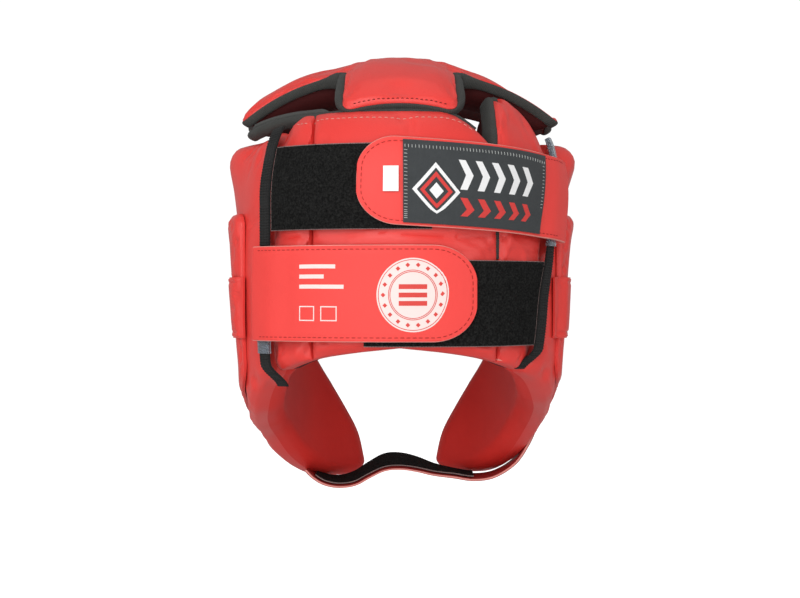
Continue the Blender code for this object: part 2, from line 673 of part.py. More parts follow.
def rounded(edge, end, inward, radius, height):
    """Edge height by azimuth that turns in round a strap's free end, up or down by `height` signs."""
    def at(azimuth):
        distance = math.radians((azimuth - end) * inward) * STRAP_REACH
        turn = max(0.0, 1 - distance / radius)
        return edge(azimuth) + height * radius * (1 - math.sqrt(max(0.0, 1 - min(turn, 1.0) ** 2)))
    return at


def strap_path(free_end, elastic, low_out):
    """(azimuth, out) rows from a strap's free end, out over the elastic and round its far side."""
    sign = 1 if elastic > free_end else -1
    fold = elastic + sign * FOLD_BEYOND
    high_out = OVER_OUT
    rows = [(free_end + sign * math.degrees(step / STRAP_REACH), low_out) for step in (0, 0.0012, 0.0035, 0.007, 0.011)]
    start = rows[-1][0]
    rows += [(start + (fold - start) * k / 14, low_out + (high_out - low_out)
              * ease((sign * (start + (fold - start) * k / 14 - elastic) + 12) / 8)) for k in range(1, 15)]
    radius = 0.5 * (high_out - UNDER_OUT)
    for k in range(1, 6):
        turn = math.pi * k / 5
        rows.append((fold + sign * math.degrees(radius * math.sin(turn) / STRAP_REACH),
                     UNDER_OUT + radius * (1 + math.cos(turn))))
    return rows


def straps():
    """The two straps behind the head, the loop tapes that they close on, and what is sewn to the upper one."""
    tape_out = REAR_THICKNESS + CLEARANCE + 0.5 * TAPE_THICKNESS
    strap_out = tape_out + 0.5 * TAPE_THICKNESS + CLEARANCE + 0.5 * STRAP_THICKNESS

    def upper_top(azimuth):
        return drop(UPPER_STRAP_TOP) + UPPER_STRAP_TILT * azimuth

    def upper_foot(azimuth):
        return upper_top(azimuth) - UPPER_STRAP_WIDTH

    def lower_top(azimuth):
        return drop(LOWER_STRAP_TOP)

    def lower_foot(azimuth):
        return lower_top(azimuth) - LOWER_STRAP_WIDTH

    def level_run(first, last, out, steps):
        return [(first + (last - first) * k / steps, out) for k in range(steps + 1)]

    start = VALLEY_MEAN["left"] - TAPE_MARGIN
    ribbon("upper_loop_patch", level_run(start, UPPER_TAPE_END, tape_out, 12),
           lambda azimuth: drop(UPPER_TAPE_TOP) - TAPE_WIDTH, lambda azimuth: drop(UPPER_TAPE_TOP), TAPE_THICKNESS,
           BLACK, 4, 0.95, "left")
    start = TAPE_MARGIN - VALLEY_MEAN["right"]
    ribbon("lower_loop_patch", level_run(start, LOWER_TAPE_END, tape_out, 9),
           lambda azimuth: drop(LOWER_TAPE_TOP) - TAPE_WIDTH, lambda azimuth: drop(LOWER_TAPE_TOP), TAPE_THICKNESS,
           BLACK, 3, 0.95, "right")
    ribbon("upper_strap", strap_path(UPPER_FREE_END, -VALLEY_MEAN["right"], strap_out),
           rounded(upper_foot, UPPER_FREE_END, -1, UPPER_CORNER, 1),
           rounded(upper_top, UPPER_FREE_END, -1, UPPER_CORNER, -1), STRAP_THICKNESS, RED, 4, side="right")
    ribbon("lower_strap", strap_path(LOWER_FREE_END, VALLEY_MEAN["left"], strap_out),
           rounded(lower_foot, LOWER_FREE_END, 1, LOWER_CORNER, 1),
           rounded(lower_top, LOWER_FREE_END, 1, LOWER_CORNER, -1), STRAP_THICKNESS, RED, 3, side="left")
    label_out = strap_out + 0.5 * STRAP_THICKNESS + CLEARANCE + 0.5 * LABEL_THICKNESS
    ribbon("label", level_run(*LABEL_SPAN, label_out, 9), lambda azimuth: upper_foot(azimuth) + LABEL_MARGIN,
           lambda azimuth: upper_top(azimuth) - LABEL_MARGIN, LABEL_THICKNESS, SLATE, 4, 0.8, "right")
    ribbon("size_tag", level_run(*TAG_SPAN, label_out, 2), lambda azimuth: drop(TAG_DROP[0]),
           lambda azimuth: drop(TAG_DROP[1]), LABEL_THICKNESS, WHITE, 2, 0.8)


def chin_strap():
    """Leather strap under the chin from the left jaw tip to the outside of the right cheek, and its loop tape."""
    def rows(lift, first, last, width):
        centres = [Vector(row[:3]) * GUARD_DROP for row in CHIN_PATH[first:last]]
        lines = []
        for k, centre in enumerate(centres):
            turn = math.radians(CHIN_PATH[first + k][3])
            across = Vector((0.0, math.cos(turn), math.sin(turn)))
            along = (centres[min(k + 1, len(centres) - 1)] - centres[max(k - 1, 0)]).normalized()
            up = across.cross(along).normalized()
            lines.append([centre + up * lift + across * (0.5 * width * (1 - j)) for j in range(3)])
        return lines

    band("chin_strap", rows(0.0, 0, len(CHIN_PATH), CHIN_STRAP_WIDTH), CHIN_STRAP_THICKNESS, DEEP_RED)
    lift = 0.5 * CHIN_STRAP_THICKNESS + CLEARANCE + 0.5 * CHIN_TAPE_THICKNESS
    band("chin_loop_tape", rows(lift, 1, 12, CHIN_STRAP_WIDTH - CHIN_TAPE_MARGIN), CHIN_TAPE_THICKNESS, BLACK, 0.95)


for old in list(bpy.data.objects):
    bpy.data.objects.remove(old, do_unlink=True)

crown()
back_of_the_head()
back_bindings()
side_pads()
ear_guards()
elastics()
straps()
chin_strap()
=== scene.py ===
"""Looks of a boxing headgear, seen from behind: padded red leather, bound edges, straps and tapes.

Metres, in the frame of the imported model: +Z up, the face looks along -Y and the wearer's left is +X.
"""

import functools
import math
import random

import bmesh
import bpy
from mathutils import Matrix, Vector, noise
from mathutils.bvhtree import BVHTree


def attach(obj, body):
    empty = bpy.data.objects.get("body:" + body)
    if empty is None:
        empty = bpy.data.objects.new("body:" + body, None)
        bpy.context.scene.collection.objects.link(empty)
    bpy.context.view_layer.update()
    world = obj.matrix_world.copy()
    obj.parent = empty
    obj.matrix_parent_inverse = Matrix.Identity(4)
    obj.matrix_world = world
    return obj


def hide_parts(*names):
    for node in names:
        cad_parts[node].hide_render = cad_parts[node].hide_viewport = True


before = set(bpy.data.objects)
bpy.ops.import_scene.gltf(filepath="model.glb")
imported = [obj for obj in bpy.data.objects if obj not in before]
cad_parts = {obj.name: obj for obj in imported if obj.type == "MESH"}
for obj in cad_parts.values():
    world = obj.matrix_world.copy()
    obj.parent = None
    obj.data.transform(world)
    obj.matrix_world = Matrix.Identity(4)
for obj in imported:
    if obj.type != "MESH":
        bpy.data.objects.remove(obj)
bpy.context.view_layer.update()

# Crown pad
# A cross of foam in synthetic leather that rests on the top of the head, with bevelled edges. Its tongue and arms
# are sewn to the band below, and every pad and strap of the guard is laid on the same head form.
HEAD_HALF_WIDTH, HEAD_HALF_LENGTH, DOME_HEIGHT, JAW_HALF_WIDTH, GUARD_DROP = 0.074, 0.096, 0.070, 0.064, 0.230
PLAN_POWER, DOME_POWER = 2.2, 2.3
DOME_ARC = 0.25 * math.pi * (HEAD_HALF_WIDTH + DOME_HEIGHT) * 1.03
CLEARANCE, HEM = 0.0005, 0.0060
CROWN_THICKNESS, CROWN_BEVEL, ARM_LIFT = 0.0255, 0.0095, 0.0150
CROWN_EDGE_OUT, CROWN_FOLD = 0.70 * CROWN_THICKNESS, 0.0225
RED = (0.74, 0.042, 0.034, 1)


def read(table, at):
    """Second column of a table at a value of its first, along a smooth curve through its rows."""
    if at <= table[0][0]:
        return table[0][1]
    if at >= table[-1][0]:
        return table[-1][1]
    i = max(k for k in range(len(table) - 1) if table[k][0] <= at)

    def slope(k):
        before, after = table[max(k - 1, 0)], table[min(k + 1, len(table) - 1)]
        return (after[1] - before[1]) / (after[0] - before[0])

    (x0, y0), (x1, y1) = table[i], table[i + 1]
    step = x1 - x0
    t = (at - x0) / step
    return ((2 * t ** 3 - 3 * t ** 2 + 1) * y0 + (t ** 3 - 2 * t ** 2 + t) * step * slope(i)
            + (3 * t ** 2 - 2 * t ** 3) * y1 + (t ** 3 - t ** 2) * step * slope(i + 1))


def ease(share):
    share = min(max(share, 0.0), 1.0)
    return share * share * (3 - 2 * share)


def swell(distance, reach):
    """0 at a pad's edge and 1 from `reach` inwards, as a quarter of an ellipse."""
    return math.sqrt(max(0.0, 1 - max(0.0, 1 - distance / reach) ** 2))


def drop(share):
    return -share * GUARD_DROP


def form_value(x, y, z):
    """1 on the head form: a dome over a wall that narrows to the jaw."""
    if z > -DOME_HEIGHT:
        plan = abs(x / HEAD_HALF_WIDTH) ** PLAN_POWER + abs(y / HEAD_HALF_LENGTH) ** PLAN_POWER
        return plan ** (DOME_POWER / PLAN_POWER) + ((z + DOME_HEIGHT) / DOME_HEIGHT) ** DOME_POWER
    start = 0.55 * GUARD_DROP
    narrowing = min(max((-z - start) / (GUARD_DROP - start), 0.0), 1.2) ** 1.6
    half_width = HEAD_HALF_WIDTH + (JAW_HALF_WIDTH - HEAD_HALF_WIDTH) * narrowing
    return (abs(x / half_width) ** PLAN_POWER + abs(y / HEAD_HALF_LENGTH) ** PLAN_POWER) ** (DOME_POWER / PLAN_POWER)


@functools.lru_cache(maxsize=None)
def form_frame(azimuth, level):
    """Point on the head form and the direction straight out from it there."""
    turn = math.radians(azimuth)
    if level > 0:
        rise = 0.5 * math.pi * min(level / DOME_ARC, 1.0)
        ray = Vector((math.sin(turn) * math.cos(rise), math.cos(turn) * math.cos(rise), math.sin(rise)))
        value = form_value(ray.x, ray.y, ray.z - DOME_HEIGHT)
        point = ray * value ** (-1 / DOME_POWER) - Vector((0, 0, DOME_HEIGHT))
    else:
        z = level - DOME_HEIGHT
        reach = form_value(math.sin(turn), math.cos(turn), z) ** (-1 / DOME_POWER)
        point = Vector((math.sin(turn) * reach, math.cos(turn) * reach, z))
    small = 1e-5
    out = Vector([form_value(*(point + small * axis)) - form_value(*(point - small * axis))
                  for axis in (Vector((1, 0, 0)), Vector((0, 1, 0)), Vector((0, 0, 1)))])
    return point, out.normalized()


def place(azimuth, level, out):
    """Point at an azimuth from the back, a level along the form and a distance out from it."""
    point, direction = form_frame(round(azimuth, 6), round(level, 8))
    return point + direction * out


def level_for(azimuth, out, z):
    low, high = -GUARD_DROP, DOME_ARC
    for _ in range(24):
        middle = 0.5 * (low + high)
        if place(azimuth, middle, out).z < z:
            low = middle
        else:
            high = middle
    return 0.5 * (low + high)


def node(tree, kind, at=(0, 0), **sockets):
    """New shader node with input sockets set by name."""
    made = tree.nodes.new(kind)
    made.location = at
    for name, value in sockets.items():
        made.inputs[name.replace("_", " ")].default_value = value
    return made


def leather_grain():
    """Node group for synthetic leather: pores, fine creases and a slow change of tone."""
    group = bpy.data.node_groups.new("leather_grain", "ShaderNodeTree")
    for name, value in (("Pore Size", 0.0009), ("Crease Size", 0.012), ("Crease Depth", 0.35)):
        group.interface.new_socket(name, in_out="INPUT", socket_type="NodeSocketFloat").default_value = value
    for name in ("Height", "Tone", "Roughness"):
        group.interface.new_socket(name, in_out="OUTPUT", socket_type="NodeSocketFloat")
    given, out = group.nodes.new("NodeGroupInput"), group.nodes.new("NodeGroupOutput")
    place_on = group.nodes.new("ShaderNodeTexCoord")
    link = group.links.new

    def inverse(socket):
        made = group.nodes.new("ShaderNodeMath")
        made.operation = "DIVIDE"
        made.inputs[0].default_value = 1.0
        link(socket, made.inputs[1])
        return made.outputs[0]

    def maths(operation, a, b):
        made = group.nodes.new("ShaderNodeMath")
        made.operation = operation
        for k, value in enumerate((a, b)):
            if isinstance(value, (int, float)):
                made.inputs[k].default_value = value
            else:
                link(value, made.inputs[k])
        return made.outputs[0]

    pores = group.nodes.new("ShaderNodeTexVoronoi")
    pores.feature = "SMOOTH_F1"
    link(place_on.outputs["Object"], pores.inputs["Vector"])
    link(inverse(given.outputs["Pore Size"]), pores.inputs["Scale"])
    creases = node(group, "ShaderNodeTexNoise", Detail=5.0, Roughness=0.62, Distortion=0.6)
    link(place_on.outputs["Object"], creases.inputs["Vector"])
    link(inverse(given.outputs["Crease Size"]), creases.inputs["Scale"])
    slow = node(group, "ShaderNodeTexNoise", Scale=22.0, Detail=3.0)
    link(place_on.outputs["Object"], slow.inputs["Vector"])
    fine = node(group, "ShaderNodeTexNoise", Scale=1900.0, Detail=2.0)
    link(place_on.outputs["Object"], fine.inputs["Vector"])
    creased = maths("MULTIPLY", creases.outputs["Fac"], given.outputs["Crease Depth"])
    height = maths("ADD", pores.outputs["Distance"], creased)
    height = maths("ADD", height, maths("MULTIPLY", fine.outputs["Fac"], 0.12))
    link(height, out.inputs["Height"])
    link(slow.outputs["Fac"], out.inputs["Tone"])
    link(maths("ADD", maths("MULTIPLY", slow.outputs["Fac"], 0.5), maths("MULTIPLY", creases.outputs["Fac"], 0.5)),
         out.inputs["Roughness"])
    return group


LEATHER_GRAIN = leather_grain()


def leather(name, colour, shade=0.80, roughness=(0.34, 0.46), pore=0.0009, crease=0.012, depth=0.35, bump=0.10,
            gloss=0.40):
    """Leather of one colour, a little darker in patches, with a satin coat."""
    made = bpy.data.materials.new(name)
    made.use_nodes = True
    tree = made.node_tree
    shader = tree.nodes["Principled BSDF"]
    grain = tree.nodes.new("ShaderNodeGroup")
    grain.node_tree = LEATHER_GRAIN
    grain.inputs["Pore Size"].default_value = pore
    grain.inputs["Crease Size"].default_value = crease
    grain.inputs["Crease Depth"].default_value = depth
    tone = tree.nodes.new("ShaderNodeMix")
    tone.data_type = "RGBA"
    tone.inputs["A"].default_value = tuple(c * shade for c in colour[:3]) + (1,)
    tone.inputs["B"].default_value = colour
    spread = node(tree, "ShaderNodeMapRange")
    spread.inputs["To Min"].default_value, spread.inputs["To Max"].default_value = roughness
    relief = node(tree, "ShaderNodeBump", Strength=bump, Distance=0.0006)
    tree.links.new(grain.outputs["Tone"], tone.inputs["Factor"])
    tree.links.new(tone.outputs["Result"], shader.inputs["Base Color"])
    tree.links.new(grain.outputs["Roughness"], spread.inputs["Value"])
    tree.links.new(spread.outputs["Result"], shader.inputs["Roughness"])
    tree.links.new(grain.outputs["Height"], relief.inputs["Height"])
    tree.links.new(relief.outputs["Normal"], shader.inputs["Normal"])
    shader.inputs["Specular IOR Level"].default_value = gloss
    return made


red_leather = leather("red_leather", RED)
# Near-black painted shade on the inside faces of the crown, the rear pad and the flaps, where the inside of the guard
# lies in shadow.
shade_painted_lining = leather("shade_painted_lining", (0.055, 0.007, 0.007, 1), roughness=(0.65, 0.8), bump=0.06, gloss=0.15)


def turned_out(mesh):
    """Turn every face of closed shapes to look outwards."""
    shape = bmesh.new()
    shape.from_mesh(mesh)
    bmesh.ops.recalc_face_normals(shape, faces=shape.faces)
    shape.to_mesh(mesh)
    shape.free()


def piece(name, points, faces, materials, nodes=(), looks=None, uvs=None, angle=40):
    """Closed mesh piece that rides on the guard and stands for CAD nodes."""
    mesh = bpy.data.meshes.new(name)
    mesh.from_pydata([tuple(p) for p in points], [], faces)
    for material in materials:
        mesh.materials.append(material)
    if looks:
        mesh.polygons.foreach_set("material_index", looks)
    if uvs:
        layer = mesh.uv_layers.new(name="UVMap")
        layer.data.foreach_set("uv", [value for face in faces for corner in face for value in uvs[corner]])
    turned_out(mesh)
    mesh.shade_smooth()
    mesh.set_sharp_from_angle(angle=math.radians(angle))
    made = bpy.data.objects.new(name, mesh)
    bpy.context.collection.objects.link(made)
    if nodes:
        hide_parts(*nodes)
    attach(made, "root")
    return made


def stuffed(points, faces, pinned, pressure=3.0, growth=0.035, cap=0.0022):
    """How far each point of a padded shape moves as its cover is blown out and gathers at its sewn edges."""
    mesh = bpy.data.meshes.new("cover")
    mesh.from_pydata([tuple(p) for p in points], [], faces)
    turned_out(mesh)
    cover = bpy.data.objects.new("cover", mesh)
    bpy.context.collection.objects.link(cover)
    pins = cover.vertex_groups.new(name="sewn")
    for k, weight in enumerate(pinned):
        pins.add([k], weight, "REPLACE")
    cloth = cover.modifiers.new("cloth", "CLOTH")
    cloth.settings.quality = 6
    cloth.settings.mass = 0.25
    cloth.settings.tension_stiffness = cloth.settings.compression_stiffness = 20
    cloth.settings.bending_stiffness = 0.6
    cloth.settings.shrink_min = -growth
    cloth.settings.use_pressure = True
    cloth.settings.uniform_pressure_force = pressure
    cloth.settings.vertex_group_mass = "sewn"
    cloth.settings.effector_weights.gravity = 0
    cloth.collision_settings.use_collision = False
    cloth.point_cache.frame_start, cloth.point_cache.frame_end = 1, 16
    for step in range(1, 17):
        bpy.context.scene.frame_set(step)
    blown = cover.evaluated_get(bpy.context.evaluated_depsgraph_get())
    moves = [blown.data.vertices[k].co - Vector(points[k]) for k in range(len(points))]
    bpy.context.scene.frame_set(1)
    bpy.data.objects.remove(cover, do_unlink=True)
    return [move * min(1.0, cap / max(move.length, 1e-9)) for move in moves]


def grid_faces(columns, rows, turned=False):
    """Faces of one grid of points, column by column."""
    faces = []
    for i in range(columns - 1):
        for j in range(rows - 1):
            face = (i * rows + j, (i + 1) * rows + j, (i + 1) * rows + j + 1, i * rows + j + 1)
            faces.append(face[::-1] if turned else face)
    return faces


def shell_faces(columns, rows):
    """Faces of two grids, the inner one first, closed round their rim."""
    count = columns * rows
    faces = grid_faces(columns, rows)
    faces += [tuple(count + corner for corner in face[::-1]) for face in grid_faces(columns, rows)]
    rim = [i * rows for i in range(columns)]
    rim += [(columns - 1) * rows + j for j in range(1, rows)]
    rim += [i * rows + rows - 1 for i in range(columns - 2, -1, -1)]
    rim += [j for j in range(rows - 2, 0, -1)]
    return faces + [(a, count + a, count + b, b) for a, b in zip(rim, rim[1:] + rim[:1])]


def between(coarse, factor, i, j, wrap=False):
    """Value of a coarse grid at a point of one `factor` times finer."""
    a, b = divmod(i, factor)
    c, d = divmod(j, factor)
    last_i, last_j = len(coarse) - 1, len(coarse[0]) - 1
    e = min(a + 1, last_i)
    f = (c + 1) % (last_j + 1) if wrap else min(c + 1, last_j)
    s, t = ease(b / factor), ease(d / factor)
    return (coarse[a][c] * (1 - s) + coarse[e][c] * s) * (1 - t) + (coarse[a][f] * (1 - s) + coarse[e][f] * s) * t


def crown_outline(steps):
    """Outline of the crown pad along the form, as (left, back) points from the top, in rows of `steps`."""
    tongue, arm, root, notch, corner = 0.0255, 0.0290, 0.0390, 0.0050, 0.0045
    reach = {side: DOME_ARC - level_for(azimuth, 0.6 * CROWN_THICKNESS, -edge_drop)
             for side, azimuth, edge_drop in (("back", 0, 0.0122), ("left", 90, 0.0200), ("front", 180, 0.0110))}

    def arc(centre, radius, first, last, count):
        turns = [math.radians(first + (last - first) * k / count) for k in range(count + 1)]
        return [(centre[0] + radius * math.cos(t), centre[1] + radius * math.sin(t)) for t in turns]

    def run(first, last, count):
        return [tuple(a + (b - a) * k / count for a, b in zip(first, last)) for k in range(1, count)]

    def quarter(end, side):
        points = [(0.0, end)] + run((0.0, end), (tongue - corner, end), 2 * steps)
        points += arc((tongue - corner, end - corner), corner, 90, 0, 2 * steps)
        points += run((tongue, end - corner), (tongue, root + notch), 4 * steps)
        points += arc((tongue + notch, root + notch), notch, 180, 270, 2 * steps)
        points += run((tongue + notch, root), (side - corner, arm), 6 * steps)
        points += arc((side - corner, arm - corner), corner, 90, 0, 2 * steps)
        return points + run((side, arm - corner), (side, 0.0), 2 * steps)

    back, front = quarter(reach["back"], reach["left"]), quarter(reach["front"], reach["left"])
    outline = back + [(reach["left"], 0.0)]
    outline += [(x, -y) for x, y in reversed(front[1:])] + [(0.0, -reach["front"])]
    return outline + [(-x, y) for x, y in reversed(outline[1:-1])]


def crown_frame(left, back):
    azimuth = math.degrees(math.atan2(left, back))
    return form_frame(round(azimuth, 6), round(DOME_ARC - math.hypot(left, back), 8))


RIGHT_SLOPE, CALM_MIDDLE = 0.0062, 0.55
CROWN_OUTLINE = crown_outline(3)
ARM_REACH = max(x for x, y in CROWN_OUTLINE)


def crown_pad():
    rings = [0.0, 0.2, 0.4, 0.55, 0.68, 0.78, 0.86, 0.92, 0.96, 0.985, 1.0]
    fine = [rings[k // 3] + (rings[k // 3 + 1] - rings[k // 3]) * (k % 3) / 3 for k in range(3 * (len(rings) - 1))]
    fine.append(1.0)
    count = len(CROWN_OUTLINE)

    def edge_distance(x, y):
        best = 1.0
        for (x0, y0), (x1, y1) in zip(CROWN_OUTLINE[::3], CROWN_OUTLINE[3::3] + CROWN_OUTLINE[:3]):
            length = (x1 - x0) ** 2 + (y1 - y0) ** 2
            if length == 0:
                continue
            t = min(max(((x - x0) * (x1 - x0) + (y - y0) * (y1 - y0)) / length, 0.0), 1.0)
            best = min(best, math.hypot(x - x0 - t * (x1 - x0), y - y0 - t * (y1 - y0)))
        return best

    def layers(x, y, share, relief):
        point, out = crown_frame(x, y)
        inside = edge_distance(x, y) if share < 1 else 0.0
        full = 0.35 * swell(inside, 0.25 * CROWN_BEVEL) + 0.65 * min(inside / CROWN_BEVEL, 1.0)
        seat = swell(inside, CROWN_BEVEL)
        lift = ARM_LIFT * abs(x / ARM_REACH) ** 2.5
        top = (CROWN_EDGE_OUT + 0.5 * HEM) * (1 - full) + CROWN_THICKNESS * full
        top -= 0.20 * min(max(abs(x) - CROWN_FOLD, 0.0), 0.011) * full
        top -= RIGHT_SLOPE * math.exp(-((x + 0.066) / 0.026) ** 2) * full
        if relief:
            place_in = Vector((x, y, 0)) * 1000
            pucker = math.exp(-inside / 0.0045) * noise.noise(place_in * 0.33) * 0.0008
            slack = noise.noise(place_in * 0.055) * 0.0006 + noise.noise(place_in * 0.13 + Vector((9, 4, 1))) * 0.0003
            top += (pucker + slack) * swell(inside, 0.004)
            groove = math.exp(-((inside - 0.0033) / 0.0007) ** 2) * 0.00035
            top -= groove
        return point + out * (lift + (CROWN_EDGE_OUT - 0.5 * HEM) * (1 - seat)), point + out * (lift + top)

    def grids(shares, outline, relief):
        inner, outer = [], []
        for share in shares:
            rows = [layers(x * share, y * share, share, relief) for x, y in outline]
            inner.append([row[0] for row in rows])
            outer.append([row[1] for row in rows])
        return inner, outer

    def faces_of(ring_count, around):
        faces, total = [], ring_count * around
        for r in range(ring_count - 1):
            for k in range(around):
                a, b = r * around + k, r * around + (k + 1) % around
                faces.append((a, b, b + around, a + around))
                faces.append((total + b, total + a, total + a + around, total + b + around))
        last = (ring_count - 1) * around
        faces += [(last + k, last + (k + 1) % around, total + last + (k + 1) % around, total + last + k)
                  for k in range(around)]
        return faces

    sparse = CROWN_OUTLINE[::3]
    inner, outer = grids([max(share, 0.01) for share in rings], sparse, False)
    flat = [p for grid in (inner, outer) for row in grid for p in row]
    weights = [1.0] * (len(rings) * len(sparse)) + [1.0 if share >= 0.985 else 0.0 for share in rings for _ in sparse]
    moves = stuffed(flat, faces_of(len(rings), len(sparse)), weights, cap=0.0010)
    start = len(rings) * len(sparse)
    moved = [[moves[start + r * len(sparse) + k] * ease(rings[r] / CALM_MIDDLE) for k in range(len(sparse))]
             for r in range(len(rings))]
    inner, outer = grids([max(share, 0.004) for share in fine], CROWN_OUTLINE, True)
    for r in range(len(fine)):
        for k in range(count):
            outer[r][k] += between(moved, 3, r, k, wrap=True)
    points = [p for grid in (inner, outer) for row in grid for p in row]
    faces = faces_of(len(fine), count)
    faces += [tuple(range(count))[::-1], tuple(len(fine) * count + k for k in range(count))]
    bands = 2 * (len(fine) - 1) * count
    looks = [1 if k < bands and k % 2 == 0 else 0 for k in range(bands + count)] + [1, 0]
    made = piece("crown", points, faces, [red_leather, shade_painted_lining], ["crown_pad"], looks)
    return made


crown = crown_pad()


# Crown binding
# Ribbed woven tape folded round the whole edge of the crown pad, and sewn down with a dark thread across the end of
# the tongue.
BINDING_WIDTH = 0.0040
TAPE_GREY = (0.052, 0.053, 0.049, 1)


def woven_ribs():
    """Node group for woven tape, by a map in metres along and across it: ribs, threads and a little fuzz."""
    group = bpy.data.node_groups.new("woven_ribs", "ShaderNodeTree")
    for name, value in (("Rib Pitch", 0.0011), ("Thread Pitch", 0.0006), ("Rib Height", 1.0), ("Thread Height", 0.3)):
        group.interface.new_socket(name, in_out="INPUT", socket_type="NodeSocketFloat").default_value = value
    for name in ("Height", "Tone"):
        group.interface.new_socket(name, in_out="OUTPUT", socket_type="NodeSocketFloat")
    given, out = group.nodes.new("NodeGroupInput"), group.nodes.new("NodeGroupOutput")
    place_on, parts = group.nodes.new("ShaderNodeTexCoord"), group.nodes.new("ShaderNodeSeparateXYZ")
    group.links.new(place_on.outputs["UV"], parts.inputs[0])

    def maths(operation, a, b=0.0):
        made = group.nodes.new("ShaderNodeMath")
        made.operation = operation
        for k, value in enumerate((a, b)):
            if isinstance(value, (int, float)):
                made.inputs[k].default_value = value
            else:
                group.links.new(value, made.inputs[k])
        return made.outputs[0]

    def wave(distance, pitch):
        turned = maths("MULTIPLY", maths("DIVIDE", distance, given.outputs[pitch]), 2 * math.pi)
        return maths("ADD", maths("MULTIPLY", maths("SINE", turned), 0.5), 0.5)

    ribs, threads = wave(parts.outputs[0], "Rib Pitch"), wave(parts.outputs[1], "Thread Pitch")
    fuzz = node(group, "ShaderNodeTexNoise", Scale=2400.0, Detail=3.0)
    worn = node(group, "ShaderNodeTexNoise", Scale=160.0, Detail=4.0)
    for texture in (fuzz, worn):
        group.links.new(place_on.outputs["Object"], texture.inputs["Vector"])
    height = maths("ADD", maths("MULTIPLY", ribs, given.outputs["Rib Height"]),
                   maths("MULTIPLY", threads, given.outputs["Thread Height"]))
    height = maths("ADD", height, maths("MULTIPLY", fuzz.outputs["Fac"], 0.5))
    group.links.new(height, out.inputs["Height"])
    # Painted shade: the tone is darker in the troughs between ribs and lighter on their tops, with random tone from
    # the worn and fuzz noise added.
    tone = maths("ADD", maths("MULTIPLY", ribs, 0.30), maths("MULTIPLY", worn.outputs["Fac"], 0.5))
    group.links.new(maths("ADD", tone, maths("MULTIPLY", fuzz.outputs["Fac"], 0.25)), out.inputs["Tone"])
    return group


WOVEN_RIBS = woven_ribs()


def woven(name, colour, shade=0.45, rib=0.0011, thread=0.0006, ribs=1.0, threads=0.3, bump=0.35, roughness=0.85,
          sheen=0.03, gloss=0.25):
    """Woven cloth of one colour, painted darker between its ribs for the shade there."""
    made = bpy.data.materials.new(name)
    made.use_nodes = True
    tree = made.node_tree
    shader = tree.nodes["Principled BSDF"]
    weave = tree.nodes.new("ShaderNodeGroup")
    weave.node_tree = WOVEN_RIBS
    for socket, value in (("Rib Pitch", rib), ("Thread Pitch", thread), ("Rib Height", ribs),
                          ("Thread Height", threads)):
        weave.inputs[socket].default_value = value
    tone = tree.nodes.new("ShaderNodeMix")
    tone.data_type = "RGBA"
    tone.inputs["A"].default_value = tuple(c * shade for c in colour[:3]) + (1,)
    tone.inputs["B"].default_value = colour
    relief = node(tree, "ShaderNodeBump", Strength=bump, Distance=0.0005)
    tree.links.new(weave.outputs["Tone"], tone.inputs["Factor"])
    tree.links.new(tone.outputs["Result"], shader.inputs["Base Color"])
    tree.links.new(weave.outputs["Height"], relief.inputs["Height"])
    tree.links.new(relief.outputs["Normal"], shader.inputs["Normal"])
    shader.inputs["Roughness"].default_value = roughness
    shader.inputs["Sheen Weight"].default_value = sheen
    shader.inputs["Specular IOR Level"].default_value = gloss
    return made


grey_tape = woven("grey_tape", TAPE_GREY)
light_thread = woven("light_thread", (0.62, 0.52, 0.48, 1), shade=0.75, rib=0.0005, ribs=0.4, bump=0.15)


def bound_edge(name, nodes, stations, shift, width, height, closed=False, sides=16, tape=grey_tape):
    """Tape folded round a pad's edge: a rounded bar beside a line of (point, direction out, fullness) stations."""
    count = len(stations)
    points, uvs, travelled = [], [], 0.0
    for i in range(count + 1 if closed else count):
        point, out, full = stations[i % count]
        before = stations[(i - 1) % count if closed else max(i - 1, 0)][0]
        after = stations[(i + 1) % count if closed else min(i + 1, count - 1)][0]
        across = (after - before).cross(out).normalized()
        uneven = full * (1 + 0.07 * noise.noise(point * 120) + 0.05 * noise.noise(point * 420))
        for k in range(sides):
            turn = 2 * math.pi * (k + 0.5) / sides
            square = (abs(math.cos(turn)) ** 2.8 + abs(math.sin(turn)) ** 2.8) ** (-1 / 2.8)
            points.append(point + across * (shift * full + 0.5 * width * uneven * math.cos(turn) * square)
                          + out * (0.5 * height * max(uneven, full ** 0.3) * math.sin(turn) * square))
            uvs.append((travelled, min(k, sides - k) / sides * 2 * (width + height) * 0.5))
        travelled += (stations[(i + 1) % count][0] - point).length
    rings = len(points) // sides
    faces = [(i * sides + k, i * sides + (k + 1) % sides, (i + 1) * sides + (k + 1) % sides, (i + 1) * sides + k)
             for i in range(rings - 1) for k in range(sides)]
    if not closed:
        faces += [tuple(range(sides)), tuple(range(len(points) - 1, len(points) - 1 - sides, -1))]
    return piece(name, points, faces, [tape], nodes, uvs=uvs)


def surface_of(*pieces):
    """Faces of some pieces, to lay thread and cloth on."""
    points, faces = [], []
    for made in pieces:
        faces += [tuple(len(points) + corner for corner in face.vertices) for face in made.data.polygons]
        points += [corner.co.copy() for corner in made.data.vertices]
    return BVHTree.FromPolygons(points, faces)


